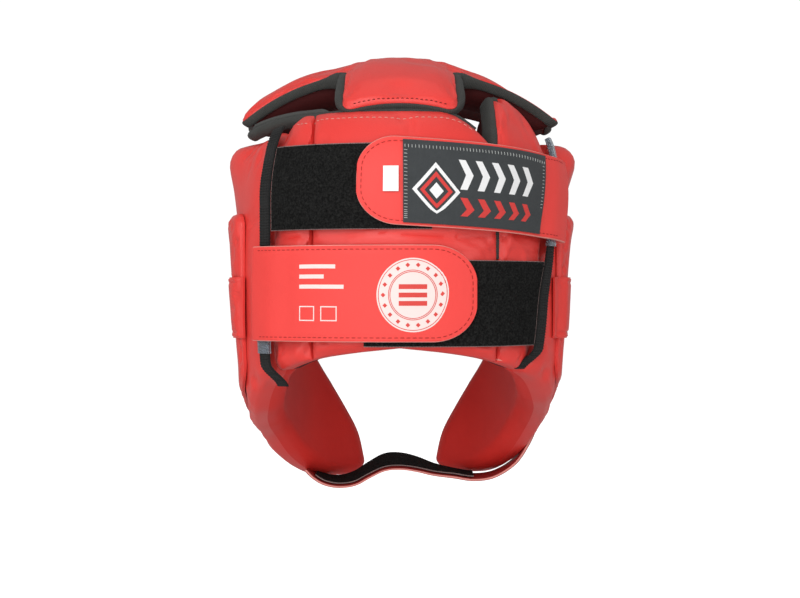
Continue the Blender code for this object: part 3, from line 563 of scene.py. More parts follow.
def stitches(name, paths, surface, thread=light_thread, pitch=0.0036, length=0.0025, radius=0.00028, sides=5):
    """Rows of stitches laid on a surface along lines of (point, direction out), their ends drawn in."""
    points, faces, uvs = [], [], []
    for path in paths:
        reached = [0.0]
        for a, b in zip(path, path[1:]):
            reached.append(reached[-1] + (b[0] - a[0]).length)

        def at(distance):
            k = max(i for i in range(len(path) - 1) if reached[i] <= distance or i == 0)
            share = (distance - reached[k]) / max(reached[k + 1] - reached[k], 1e-9)
            return path[k][0].lerp(path[k + 1][0], share), path[k][1].lerp(path[k + 1][1], share).normalized()

        for s in range(int(reached[-1] / pitch)):
            rings = []
            for share, sunk, full in ((-0.5, -0.9, 0.6), (-0.3, 0.45, 0.95), (0.0, 0.7, 1.0), (0.3, 0.45, 0.95),
                                      (0.5, -0.9, 0.6)):
                point, out = at((s + 0.5) * pitch + share * length)
                hit, normal, _, _ = surface.ray_cast(point + out * 0.010, -out, 0.022)
                if hit is None:
                    break
                rings.append((hit + out * (sunk * radius), out, full * radius))
            if len(rings) < 5:
                continue
            along = (rings[-1][0] - rings[0][0]).normalized()
            start = len(points)
            for centre, out, size in rings:
                across = along.cross(out).normalized()
                for k in range(sides):
                    turn = 2 * math.pi * k / sides
                    points.append(centre + across * (size * math.cos(turn)) + out * (size * math.sin(turn)))
                    uvs.append((0.0005 * k, 0.0003 * k))
            for r in range(4):
                a, b = start + r * sides, start + (r + 1) * sides
                faces += [(a + k, a + (k + 1) % sides, b + (k + 1) % sides, b + k) for k in range(sides)]
            faces += [tuple(start + k for k in range(sides)), tuple(start + 4 * sides + k for k in range(sides))]
    return piece(name, points, faces, [thread], uvs=uvs)


def crown_edge(inside):
    """Stations along the crown's edge or a line inside it; the tape is full beside the tongue and thin elsewhere."""
    stations, count = [], len(CROWN_OUTLINE)
    tongue_end = max(y for x, y in CROWN_OUTLINE)
    for k, (x, y) in enumerate(CROWN_OUTLINE):
        (x0, y0), (x1, y1) = CROWN_OUTLINE[k - 1], CROWN_OUTLINE[(k + 1) % count]
        length = math.hypot(x1 - x0, y1 - y0)
        x, y = x - inside * (y0 - y1) / length, y - inside * (x1 - x0) / length
        point, out = crown_frame(x, y)
        full = 0.46
        if y > 0:
            full += 0.86 * ease((0.040 - abs(x)) / 0.010) * ease((tongue_end - 0.002 - y) / 0.006)
            full -= 0.08 * ease((y - tongue_end + 0.004) / 0.003)
        stations.append((point + out * (CROWN_EDGE_OUT + ARM_LIFT * abs(x / ARM_REACH) ** 2.5), out, full))
    return stations


bound_edge("crown_tape", ["crown_binding"], crown_edge(0.0), -0.0014, 0.0056, 0.0072, closed=True)
dark_thread = woven("dark_thread", (0.16, 0.012, 0.010, 1), shade=0.7, rib=0.0005, ribs=0.4, bump=0.15)
sewn_line = [station for station, (x, y) in zip(crown_edge(0.0010), CROWN_OUTLINE) if y > 0.06 and abs(x) < 0.022]
sewn_line.sort(key=lambda station: station[0].x)
stitches("crown_stitching", [sewn_line], surface_of(crown), dark_thread, 0.0026, 0.0016)


# Rear pad and flaps
# The padded panel behind the head with a flap on each side of it, foam in the same leather. The left flap is sewn to
# it down a puckered seam, and the right one has a free edge that tucks behind the crown's arm.
REAR_THICKNESS, SEAM_GAP, REAR_HEAD, REAR_FALL = 0.0240, 0.25, 0.0700, 0.0760
REAR_HEM_OUT = 0.62 * REAR_THICKNESS
REAR_ROUND, FLAP_ROUND, VALLEY_ROUND, FLAP_CORNER = 0.013, 0.011, 0.024, 0.0080
SEAM_OFFSET = {"left": 0.0445, "right": 0.0492}
JAW_LINE = {"left": [(0, 0.636), (14, 0.650), (26, 0.668), (46, 0.722), (56, 0.765), (67, 0.810), (90, 0.855),
                     (110, 0.892), (130, 0.958), (150, 1.014), (170, 1.020)],
            "right": [(0, 0.636), (14, 0.650), (26, 0.668), (46, 0.715), (56, 0.750), (67, 0.785), (90, 0.825),
                      (110, 0.872), (130, 0.945), (150, 1.004), (170, 1.010)]}
VALLEY = {"left": [(-0.44, 36.4), (-0.36, 39.3), (-0.25, 39.8), (-0.06, 39.2), (0.00, 39.2), (0.07, 39.6),
                   (0.13, 40.0), (0.17, 38.0), (0.20, 35.0)],
          "right": [(-0.44, 33.0), (-0.40, 35.5), (-0.34, 40.8), (-0.20, 44.2), (-0.083, 49.0), (0.00, 52.0),
                    (0.07, 57.5), (0.135, 65.0), (0.19, 71.0)]}
VALLEY_MEAN = {"left": 39.6, "right": 54.0}


def jaw_line(azimuth):
    return drop(read(JAW_LINE["left" if azimuth > 0 else "right"], abs(azimuth)))


@functools.lru_cache(maxsize=None)
def seam(side, level):
    """Azimuth of a rear seam, which runs straight up and so turns outwards on the dome."""
    azimuth = 25.0
    for _ in range(8):
        point = place(azimuth, level, REAR_HEM_OUT)
        azimuth = math.degrees(math.asin(min(SEAM_OFFSET[side] / math.hypot(point.x, point.y), 1.0)))
    return azimuth


def rear_top(azimuth):
    corner = seam("right", 0.0)
    return drop(REAR_HEAD + REAR_FALL * min(max((-azimuth - 0.45 * corner) / (0.55 * corner), 0.0), 1.0) ** 2)


def valley(side, level):
    return read(VALLEY[side], level / GUARD_DROP)


def flap_top_right(azimuth):
    """Height of a line along the rear edge of the crown's arm, turned down to a rounded rear corner."""
    across = 0.0300 + 2 * BINDING_WIDTH + 3 * CLEARANCE
    edge = place(azimuth, DOME_ARC - across / math.cos(math.radians(azimuth)), REAR_HEM_OUT)
    return edge.z - FLAP_CORNER * (1 - swell(max(abs(edge.x) - SEAM_OFFSET["right"], 0.0), FLAP_CORNER))


def head_form(azimuth, z):
    return 0.0


def no_relief(azimuth, z, edges):
    return 0.0


def padding(name, nodes, start, end, low, high, top, edge_out, round_over, columns, rows, base=head_form, hem=HEM,
            start_round=None, steps=(0.0, 0.012, 0.04, 0.08, 0.13), relief=no_relief, growth=0.035, pressure=3.0,
            cap=0.0022, inset=0.0009, materials=None, corners=(0.0, 0.0, 0.0, 0.0)):
    """Padded panel between two sides, azimuths by level, and two edges, heights by azimuth, blown out as cloth.

    `relief` gives the height of folds and puckers by azimuth, height and distances in from the start, end, low and
    high edges; `corners` are radii of the corners start-low, end-low, start-high and end-high.
    """
    reference = edge_out + base(start(0.0), -DOME_HEIGHT)

    def spread(count):
        middle = [steps[-1] + (1 - 2 * steps[-1]) * (k + 1) / (count + 1) for k in range(count)]
        return list(steps) + middle + [1 - s for s in reversed(steps)]

    def finer(shares):
        made = [a + (b - a) * k / 3 for a, b in zip(shares, shares[1:]) for k in range(3)]
        return made + [shares[-1]]

    def meet(u, edge):
        level = 0.0
        for _ in range(8):
            azimuth = start(level) * (1 - u) + end(level) * u
            level = level_for(azimuth, reference, edge(azimuth))
        return level

    across, up = spread(columns), spread(rows)

    def layers(across, up, fine):
        grid = []
        for u in across:
            foot, head = meet(u, low), meet(u, high)
            levels = [foot * (1 - v) + head * v for v in up]
            grid.append([(start(level) * (1 - u) + end(level) * u, level) for level in levels])
        middle = [[place(azimuth, level, reference) for azimuth, level in column] for column in grid]
        heights = [sum((b - a).length for a, b in zip(column, column[1:])) for column in middle]
        widths = [sum((middle[k + 1][j] - middle[k][j]).length for k in range(len(grid) - 1)) for j in range(len(up))]
        for i, u in enumerate(across):
            for j, v in enumerate(up):
                for k, radius in enumerate(corners):
                    a = 1 - (u if k % 2 == 0 else 1 - u) * widths[j] / max(radius, 1e-9)
                    c = 1 - (v if k < 2 else 1 - v) * heights[i] / max(radius, 1e-9)
                    if radius and a > 0 and c > 0:
                        turned_u = (1 - a * math.sqrt(1 - c * c / 2)) * radius / widths[j]
                        turned_v = (1 - c * math.sqrt(1 - a * a / 2)) * radius / heights[i]
                        new_u = turned_u if k % 2 == 0 else 1 - turned_u
                        new_v = turned_v if k < 2 else 1 - turned_v
                        foot, head = meet(new_u, low), meet(new_u, high)
                        level = foot * (1 - new_v) + head * new_v
                        grid[i][j] = (start(level) * (1 - new_u) + end(level) * new_u, level)
                        middle[i][j] = place(*grid[i][j], reference)
        inner, outer = [], []
        for i, column in enumerate(grid):
            inside, outside = [], []
            for j, (azimuth, level) in enumerate(column):
                z = middle[i][j].z
                edges = (across[i] * widths[j], (1 - across[i]) * widths[j], up[j] * heights[i],
                         (1 - up[j]) * heights[i])
                ends = min(edges[2], edges[3])
                full = swell(edges[0], start_round or round_over) * swell(edges[1], round_over)
                full *= swell(ends, round_over)
                seat = swell(min(edges[0], edges[1]), 0.6 * round_over) * swell(ends, 0.6 * round_over)
                foundation = base(azimuth, z)
                rise = top(azimuth, z) - inset * full
                if fine:
                    rise += relief(azimuth, z, edges) * swell(min(edges), 0.003)
                inside.append(place(azimuth, level, foundation + (edge_out - 0.5 * hem) * (1 - seat)))
                outside.append(place(azimuth, level, (foundation + edge_out + 0.5 * hem) * (1 - full) + rise * full))
            inner.append(inside)
            outer.append(outside)
        return inner, outer

    inner, outer = layers(across, up, False)
    points = [p for side in (inner, outer) for column in side for p in column]
    n, m = len(across), len(up)
    faces = shell_faces(n, m)
    weights = [1.0] * (n * m)
    weights += [1.0 if min(i, n - 1 - i) < 2 or min(j, m - 1 - j) < 2 else 0.0 for i in range(n) for j in range(m)]
    moves = stuffed(points, faces, weights, pressure, growth, cap)
    moved = [[moves[n * m + i * m + j] for j in range(m)] for i in range(n)]
    across, up = finer(across), finer(up)
    inner, outer = layers(across, up, True)
    for i in range(len(across)):
        for j in range(len(up)):
            outer[i][j] += between(moved, 3, i, j)
    points = [p for side in (inner, outer) for column in side for p in column]
    faces = shell_faces(len(across), len(up))
    half = (len(across) - 1) * (len(up) - 1)
    looks = [1 if k < half else 0 for k in range(len(faces))]
    made = piece(name, points, faces, materials or [red_leather, shade_painted_lining], nodes, looks)
    made["grid"] = (len(across), len(up))
    return made


def gathers(along, inside, pitch=0.0042, depth=0.0007, reach=0.006, seed=0.0):
    """Puckers that run in from a sewn edge, uneven along it."""
    uneven = noise.noise(Vector((along * 60, seed, 0.0)))
    wave = noise.noise(Vector((along / pitch, inside * 90, seed + 3.1)))
    return depth * math.exp(-inside / (reach * (1 + 0.6 * uneven))) * wave


def slack(point, size=0.03, depth=0.0006, stretch=(1.0, 1.0, 1.0), seed=0.0):
    """Soft uneven swelling of foam under leather."""
    turned = Vector([c * s / size for c, s in zip(point, stretch)]) + Vector((seed, seed * 0.7, 2.0))
    return depth * noise.noise(turned)


def rear_relief(azimuth, z, edges):
    along = azimuth * 0.002
    height = gathers(z, edges[0], seed=1.0) + gathers(z, edges[1], seed=2.0) + gathers(along, edges[3], seed=3.0)
    height += gathers(along, edges[2], pitch=0.006, depth=0.0012, reach=0.009, seed=4.0)
    for fold, depth in ((-0.0835, 0.0009), (-0.0925, 0.0006)):
        height -= depth * math.exp(-((z - fold - 0.0012 * math.sin(along * 70)) / 0.0011) ** 2)
    return height + slack(Vector((along, 0, z)), 0.025, 0.0007)


def level_top(azimuth, z):
    return REAR_THICKNESS


padding("rear_panel", ["rear_pad"], lambda level: SEAM_GAP - seam("right", level),
        lambda level: seam("left", level) - SEAM_GAP, jaw_line, rear_top, level_top, REAR_HEM_OUT, REAR_ROUND, 16, 16,
        relief=rear_relief, cap=0.0010)
padding("left_flap", ["rear_flap_left"], lambda level: valley("left", level) - SEAM_GAP,
        lambda level: seam("left", level) + SEAM_GAP, jaw_line, lambda azimuth: drop(REAR_HEAD), level_top,
        REAR_HEM_OUT, FLAP_ROUND, 6, 16, start_round=VALLEY_ROUND, relief=rear_relief, cap=0.0010,
        corners=(0.006, 0.0, 0.005, 0.0))
padding("right_flap", ["rear_flap_right"], lambda level: SEAM_GAP - valley("right", level),
        lambda level: -seam("right", level) - SEAM_GAP, jaw_line, flap_top_right, level_top, REAR_HEM_OUT, FLAP_ROUND,
        6, 20, start_round=VALLEY_ROUND, relief=rear_relief, cap=0.0010)


# Side pads and forehead
# Temple, ear and cheek of each side are one foam panel in leather, swollen over the temple and drawn in towards the
# jaw, where the leather wrinkles. The forehead is a thick roll between them.
SIDE_THICKNESS, SIDE_ROUND, TEMPLE_REAR, TEMPLE_BLEND = 0.0240, 0.016, 58.0, 22.0
FOREHEAD_THICKNESS, FRONT_SEAM, BROW, HAIRLINE = 0.0260, 118.0, 0.395, 0.130
SIDE_HEM_OUT = 0.58 * SIDE_THICKNESS
FACE_EDGE = [(0.43, 117.6), (0.47, 126), (0.53, 133), (0.62, 139), (0.69, 147), (0.76, 154.5), (0.84, 161.5),
             (0.90, 165.5), (0.98, 168)]
SIDE_TOP = [(36, 0.092), (48, 0.110), (60, 0.120), (80, 0.126), (100, 0.126), (118, 0.135)]
SIDE_PROFILE = [(0.05, 1.02), (0.12, 1.34), (0.17, 1.42), (0.24, 1.12), (0.30, 1.00), (0.45, 0.90), (0.63, 0.86),
                (0.75, 0.88), (0.90, 0.92), (1.0, 0.90)]
TEMPLE_FULLER = {"left": 0.0, "right": 0.0036}
# Inside faces of the side pads and forehead: the same red leather, painted a little darker for the shade inside the
# guard.
inner_leather = leather("inner_leather", (0.70, 0.031, 0.024, 1), roughness=(0.50, 0.60), crease=0.016, depth=0.6,
                        bump=0.14, gloss=0.2)


def side_top(azimuth, z):
    swelling = ease((abs(azimuth) - TEMPLE_REAR) / TEMPLE_BLEND)
    fuller = TEMPLE_FULLER["left" if azimuth > 0 else "right"] * math.exp(-((-z / GUARD_DROP - 0.20) / 0.11) ** 2)
    return SIDE_THICKNESS * (1 + (read(SIDE_PROFILE, -z / GUARD_DROP) - 1) * swelling) + fuller * swelling


def side_relief(azimuth, z, edges):
    along = azimuth * 0.002
    height = gathers(z, edges[0], seed=5.0) + gathers(along, edges[3], seed=6.0)
    height += gathers(along, edges[2], pitch=0.008, depth=0.0013, reach=0.012, seed=7.0)
    height += gathers(z, edges[1], pitch=0.007, depth=0.0009, seed=8.0)
    low = ease((-z - 0.150) / 0.050)
    height += 0.0011 * low * noise.noise(Vector((along * 26 + z * 30, z * 75 - along * 30, 4.0)))
    return height + slack(Vector((along, 0, z)), 0.035, 0.0009, seed=azimuth > 0)


for side, sign in (("left", 1), ("right", -1)):
    def front(level):
        return sign * (read(FACE_EDGE, (DOME_HEIGHT - level) / GUARD_DROP) - SEAM_GAP)

    def rear(level):
        return sign * (valley(side, level) + SEAM_GAP)

    padding("side_panel_" + side, ["side_pad_" + side], rear, front, jaw_line,
            lambda azimuth: drop(read(SIDE_TOP, abs(azimuth))), side_top, SIDE_HEM_OUT, SIDE_ROUND, 22, 22,
            start_round=VALLEY_ROUND, relief=side_relief, cap=0.0012, materials=[red_leather, inner_leather],
            corners=(0.010, 0.012, 0.010, 0.0))
padding("forehead_roll", ["forehead_pad"], lambda level: FRONT_SEAM + SEAM_GAP,
        lambda level: 360 - FRONT_SEAM - SEAM_GAP, lambda azimuth: drop(BROW), lambda azimuth: drop(HAIRLINE),
        lambda azimuth, z: FOREHEAD_THICKNESS, SIDE_HEM_OUT, SIDE_ROUND, 22, 10, relief=side_relief, materials=[red_leather, inner_leather])


# Ear guards
# A second, thinner layer of padding over each ear, with a band of doubled leather sewn round it at jaw height. Both
# are stitched close to their edges.
GUARD_LAYER, GUARD_HEM, BAND_LAYER, GUARD_MARGIN = 0.0060, 0.0016, 0.0014, 0.012
GUARD_REAR, GUARD_FRONT, GUARD_HEAD = {"left": 56.0, "right": 58.0}, 113.0, 0.300
BAND_HEAD, BAND_FOOT, BAND_WRAP = 0.462, 0.616, {"left": 1.5, "right": 5.0}
GUARD_PROFILE = [(0.30, 1.00), (0.45, 0.75), (0.64, 0.45), (0.80, 0.40)]


def guard_top(azimuth, z):
    return side_top(azimuth, z) + CLEARANCE + GUARD_LAYER * read(GUARD_PROFILE, -z / GUARD_DROP)


def band_base(azimuth, z):
    """Outside of the ear guard with its rounded rear edge, where the band lies on it."""
    side = "left" if azimuth > 0 else "right"
    beyond = math.radians(abs(azimuth) - GUARD_REAR[side]) * 0.105
    under = side_top(azimuth, z) + CLEARANCE
    edge = under + GUARD_HEM * ease((beyond + 0.004) / 0.004)
    return edge + (guard_top(azimuth, z) + CLEARANCE - edge) * swell(max(beyond, 0.0), 0.010) + 0.0004


def guard_relief(azimuth, z, edges):
    along = azimuth * 0.002
    near = min(edges)
    height = -0.0005 * math.exp(-((near - 0.0035) / 0.0008) ** 2)
    height += gathers(z if near in edges[:2] else along, near, depth=0.0005, seed=9.0)
    return height + slack(Vector((along, 0, z)), 0.02, 0.0005, seed=3.0)


for side, sign in (("left", 1), ("right", -1)):
    padding("ear_layer_" + side, ["ear_guard_" + side], lambda level: sign * GUARD_REAR[side],
            lambda level: sign * GUARD_FRONT, lambda azimuth: jaw_line(azimuth) + GUARD_MARGIN,
            lambda azimuth: drop(GUARD_HEAD), guard_top, 0.5 * GUARD_HEM, 0.010, 14, 16,
            base=lambda azimuth, z: side_top(azimuth, z) + CLEARANCE, hem=GUARD_HEM, relief=guard_relief, cap=0.0010,
            inset=0.0002, materials=[red_leather, red_leather], corners=(0.008, 0.008, 0.008, 0.008))
    padding("ear_band_cover_" + side, ["ear_band_" + side], lambda level: sign * (GUARD_REAR[side] - BAND_WRAP[side]),
            lambda level: sign * GUARD_FRONT, lambda azimuth: drop(BAND_FOOT), lambda azimuth: drop(BAND_HEAD),
            lambda azimuth, z: band_base(azimuth, z) + BAND_LAYER, 0.5 * BAND_LAYER, 0.004, 14, 8,
            base=band_base, hem=0.9 * BAND_LAYER, relief=guard_relief,
            cap=0.0006, inset=0.0, materials=[red_leather, red_leather])


# Rear and flap bindings
# The same tape along the top of the rear pad and the left flap, doubled where the left vent opens, and a wider one
# round the free edge of the right flap.
VENT_START, RIM_END, RIM_RISE, RIM_FALL = 23.0, 70.0, 0.0110, 0.0055
FLAP_BINDING_WIDTH, FLAP_BINDING_HEIGHT, FLAP_BINDING_FOOT = 0.0058, 0.0100, -0.098
STRAP_REACH = 0.95 * HEAD_HALF_LENGTH + REAR_THICKNESS
rim_tape = woven("rim_tape", (0.070, 0.071, 0.067, 1), shade=0.5)


def vent_rim(first, last, count, taper=0.0, thin=0.0):
    """Stations along the top of the rear pad and on along the side of the left vent."""
    stations = []
    for k in range(count + 1):
        azimuth = first + (last - first) * k / count
        beyond = ease((azimuth - VALLEY_MEAN["left"] + 4) / (RIM_END - VALLEY_MEAN["left"]))
        out = REAR_HEM_OUT + RIM_RISE * beyond
        level = level_for(azimuth, out, rear_top(azimuth) - RIM_FALL * beyond ** 2)
        full = 1 - taper * (1 - ease(6 * k / count) * ease(12 * (count - k) / count))
        full *= 1 - thin * ease((azimuth - 16) / 16)
        stations.append((place(azimuth, level, out), form_frame(azimuth, level)[1], full))
    return stations


def flap_edge(pad):
    """Stations along the hem of the right flap: up its free edge, over its rear corner and on along its top."""
    columns, rows = pad["grid"]
    points = [corner.co for corner in pad.data.vertices]

    def hem(i, j):
        return points[i * rows + j].lerp(points[(columns + i) * rows + j], 0.5)

    route = [hem(columns - 1, j) for j in range(rows) if hem(columns - 1, j).z > FLAP_BINDING_FOOT]
    route += [hem(i, rows - 1) for i in range(columns - 2, columns // 3, -1)]
    stations = []
    for point in route:
        azimuth = math.degrees(math.atan2(point.x, point.y))
        stations.append((point, form_frame(azimuth, level_for(azimuth, REAR_HEM_OUT, point.z))[1], 1.0))
    return stations


rim_start = math.degrees(FLAP_BINDING_WIDTH / STRAP_REACH) + 1.0 - seam("right", 0.0)
bound_edge("rear_tape", ["rear_binding"], vent_rim(rim_start, RIM_END, 120, thin=0.38), -0.0003, 0.0094, 0.0084)
bound_edge("vent_tape", ["vent_rim_left"], vent_rim(VENT_START, RIM_END - 1.5, 70, 0.6), 0.0044, 0.0040, 0.0062,
           tape=rim_tape)
bound_edge("flap_tape", ["flap_binding_right"], flap_edge(bpy.data.objects["right_flap"]),
           -0.15 * FLAP_BINDING_WIDTH, FLAP_BINDING_WIDTH, FLAP_BINDING_HEIGHT)


pale_thread = woven("pale_thread", (0.66, 0.26, 0.22, 1), shade=0.75, rib=0.0005, ribs=0.4, bump=0.15)
sewn_line = []
for k in range(121):
    azimuth = 36.0 - (36.0 + seam("right", 0.0) - 5.0) * k / 120
    level = level_for(azimuth, REAR_HEM_OUT, rear_top(azimuth) - 0.0066)
    sewn_line.append((place(azimuth, level, REAR_HEM_OUT), form_frame(azimuth, level)[1]))
stitches("rear_stitching", [sewn_line], surface_of(bpy.data.objects["rear_panel"], bpy.data.objects["left_flap"]),
         pale_thread, 0.0032, 0.0021)


def forehead_edge():
    stations = []
    for k in range(81):
        azimuth = FRONT_SEAM + (360 - 2 * FRONT_SEAM) * k / 80
        level = level_for(azimuth, SIDE_HEM_OUT, drop(HAIRLINE))
        stations.append((place(azimuth, level, SIDE_HEM_OUT), form_frame(azimuth, level)[1], 1.0))
    return stations


bound_edge("forehead_tape", ["forehead_binding"], forehead_edge(), 0.0016, 0.0050, 0.0066)


flap_piping = leather("flap_piping", (0.78, 0.25, 0.21, 1), roughness=(0.5, 0.6), bump=0.1)
for side, sign in (("left", 1), ("right", -1)):
    stations = []
    for k in range(41):
        level = -0.115 - 0.026 * k / 40
        azimuth = sign * (valley(side, level) - SEAM_GAP - 2.0 - 3.0 * ease((k - 24) / 16))
        out = REAR_HEM_OUT + (REAR_THICKNESS - REAR_HEM_OUT) * (0.45 - 0.1 * ease((k - 24) / 16))
        level = max(level, level_for(azimuth, out, jaw_line(azimuth) + 0.0015))
        stations.append((place(azimuth, level, out), form_frame(azimuth, level)[1], ease(k / 8)))
    bound_edge("flap_piping_" + side, [], stations, 0.0, 0.0010, 0.0022, tape=flap_piping)


# Elastics and clear sleeves
# A ribbed elastic runs down the groove behind each side pad. The straps turn round it inside clear plastic sleeves,
# so that they slide without catching.
ELASTIC_WIDTH, ELASTIC_THICKNESS, ELASTIC_RISE = 0.0094, 0.0016, 0.0022
SLEEVE_WALL, SLEEVE_ROOM, ELASTIC_TUCK = 0.0005, 0.0004, 0.0080
ELASTIC_OUT = REAR_THICKNESS + ELASTIC_RISE
ELASTIC_SPAN, ELASTIC_LEAN = {"left": (0.090, 0.736), "right": (0.096, 0.694)}, {"left": 0.5, "right": -0.6}
SLEEVE_SPAN = {"left": (0.40, 0.652), "right": (0.094, 0.385)}
elastic_cloth = woven("elastic_cloth", (0.013, 0.013, 0.013, 1), shade=0.30, rib=0.00161, thread=0.0010, ribs=0.6,
                      threads=1.0, bump=0.6, sheen=0.03)


def clear_sheet():
    """Clear flexible plastic with a bluish tint."""
    made = bpy.data.materials.new("clear_sheet")
    made.use_nodes = True
    shader = made.node_tree.nodes["Principled BSDF"]
    shader.inputs["Base Color"].default_value = (0.72, 0.80, 0.90, 1)
    shader.inputs["Roughness"].default_value = 0.06
    shader.inputs["IOR"].default_value = 1.40
    shader.inputs["Transmission Weight"].default_value = 0.90
    return made


clear_plastic = clear_sheet()


def sheet(name, nodes, grid, thickness, materials, edge=0.0010, relief=None, angle=50, selvedge=False):
    """Flat band of even thickness on a grid of points, with softened edges; its cut rim is the second material.

    `relief` lifts the face by the distances along and across the band and in from its nearest edge.
    """
    columns, rows = len(grid), len(grid[0])
    along, across = [0.0], [0.0]
    for i in range(1, columns):
        along.append(along[-1] + (grid[i][rows // 2] - grid[i - 1][rows // 2]).length)
    for j in range(1, rows):
        across.append(across[-1] + (grid[columns // 2][j] - grid[columns // 2][j - 1]).length)
    first = (grid[0][rows - 1] - grid[0][0]).cross(grid[1][0] - grid[0][0])
    face_sign = 1 if first.dot(Vector((grid[0][0].x, grid[0][0].y, 0))) > 0 else -1
    under, over, uvs = [], [], []
    for i in range(columns):
        for j in range(rows):
            run = grid[min(i + 1, columns - 1)][j] - grid[max(i - 1, 0)][j]
            up = grid[i][min(j + 1, rows - 1)] - grid[i][max(j - 1, 0)]
            out = up.cross(run).normalized() * face_sign
            inside = min(along[i], along[-1] - along[i], across[j], across[-1] - across[j])
            half = 0.5 * thickness * (0.5 + 0.5 * swell(inside, edge))
            lift = relief(along[i], across[j], inside) if relief else 0.0
            under.append(grid[i][j] - out * half)
            over.append(grid[i][j] + out * (half + lift))
            uvs.append((along[i], across[j]))
    faces = shell_faces(columns, rows)
    flat = 2 * (columns - 1) * (rows - 1)
    looks = [0 if k < flat else len(materials) - 1 for k in range(len(faces))]
    for i in range(columns - 1):
        for j in range(rows - 1):
            if selvedge and (j in (0, rows - 2) or i == 0):
                looks[(columns - 1) * (rows - 1) + i * (rows - 1) + j] = len(materials) - 1
    made = piece(name, under + over, faces, materials, nodes, looks, uvs + uvs, angle)
    return made, [over[i * rows:(i + 1) * rows] for i in range(columns)]


def down_the_groove(side, sign, span, count, slant=0.0):
    """(level, azimuth, out) rows down the groove behind a side pad."""
    ends = [level_for(sign * VALLEY_MEAN[side], ELASTIC_OUT, drop(share)) for share in span]
    levels = [ends[0] + (ends[1] - ends[0]) * k / count for k in range(count + 1)]
    tuck = [ELASTIC_TUCK * ease((k / count - 0.90) / 0.10) if slant else 0.0 for k in range(count + 1)]
    lean = [slant * ease((k / count - 0.88) / 0.12) for k in range(count + 1)]
    return [(level, sign * (valley(side, level) - lean[k]), ELASTIC_OUT - tuck[k]) for k, level in enumerate(levels)]


def across_rows(path, width, strips):
    grid = []
    for level, azimuth, out in path:
        centre = place(azimuth, level, out)
        half = math.degrees(0.5 * width / math.hypot(centre.x, centre.y))
        grid.append([place(azimuth + half * (1 - 2 * k / strips), level, out) for k in range(strips + 1)])
    return grid


def cords(along, across, inside):
    """Cords along an elastic and its close waves across."""
    return (0.00016 * abs(math.sin(math.pi * 6 * across / ELASTIC_WIDTH)) + 0.00026 * math.sin(along * 3900)
            + 0.0005 * noise.noise(Vector((along * 60, 0.5, 0)))) * swell(inside, 0.0006)


for side, sign in (("left", 1), ("right", -1)):
    groove = down_the_groove(side, sign, ELASTIC_SPAN[side], 260, ELASTIC_LEAN[side])
    sheet("elastic_band_" + side, ["elastic_" + side], across_rows(groove, ELASTIC_WIDTH, 24),
          ELASTIC_THICKNESS, [elastic_cloth], relief=cords)
    shells = []
    for grown in (0.0, SLEEVE_WALL):
        room = SLEEVE_ROOM + grown
        half_out = 0.5 * ELASTIC_THICKNESS + room
        loops = []
        for level, azimuth, out in down_the_groove(side, sign, SLEEVE_SPAN[side], 60):
            centre, direction = place(azimuth, level, out), form_frame(azimuth, level)[1]
            across = Vector((0, 0, 1)).cross(direction).normalized()
            dent = 1 + 0.10 * noise.noise(Vector((level * 90, sign, 0)))
            loop = []
            for k in range(20):
                turn = 2 * math.pi * k / 20
                square = (abs(math.cos(turn)) ** 5 + abs(math.sin(turn)) ** 5) ** (-1 / 5)
                loop.append(centre + across * ((0.5 * ELASTIC_WIDTH + room) * square * math.cos(turn))
                            + direction * (half_out * dent * square * math.sin(turn)))
            loops.append(loop)
        shells.append(loops)
    points = [p for loops in shells for loop in loops for p in loop]
    rings, faces = len(shells[0]), []
    for shell in range(2):
        for i in range(rings - 1):
            a, b = (shell * rings + i) * 20, (shell * rings + i + 1) * 20
            faces += [(a + k, a + (k + 1) % 20, b + (k + 1) % 20, b + k) for k in range(20)]
    for i in (0, rings - 1):
        a, b = i * 20, (rings + i) * 20
        faces += [(a + k, a + (k + 1) % 20, b + (k + 1) % 20, b + k) for k in range(20)]
    piece("clear_sleeve_" + side, points, faces, [clear_plastic], ["sleeve_" + side])


# Loop patches
# Black loop tape sewn on the rear pad and across its seam, where each strap closes: a woven ground under a pile of
# small soft loops.
TAPE_WIDTH, TAPE_THICKNESS, TAPE_MARGIN = 0.0480, 0.0018, 2.6
UPPER_TAPE_TOP, LOWER_TAPE_TOP, UPPER_TAPE_END, LOWER_TAPE_END = 0.142, 0.424, -8.0, 9.0
TAPE_OUT = REAR_THICKNESS + CLEARANCE + 0.5 * TAPE_THICKNESS


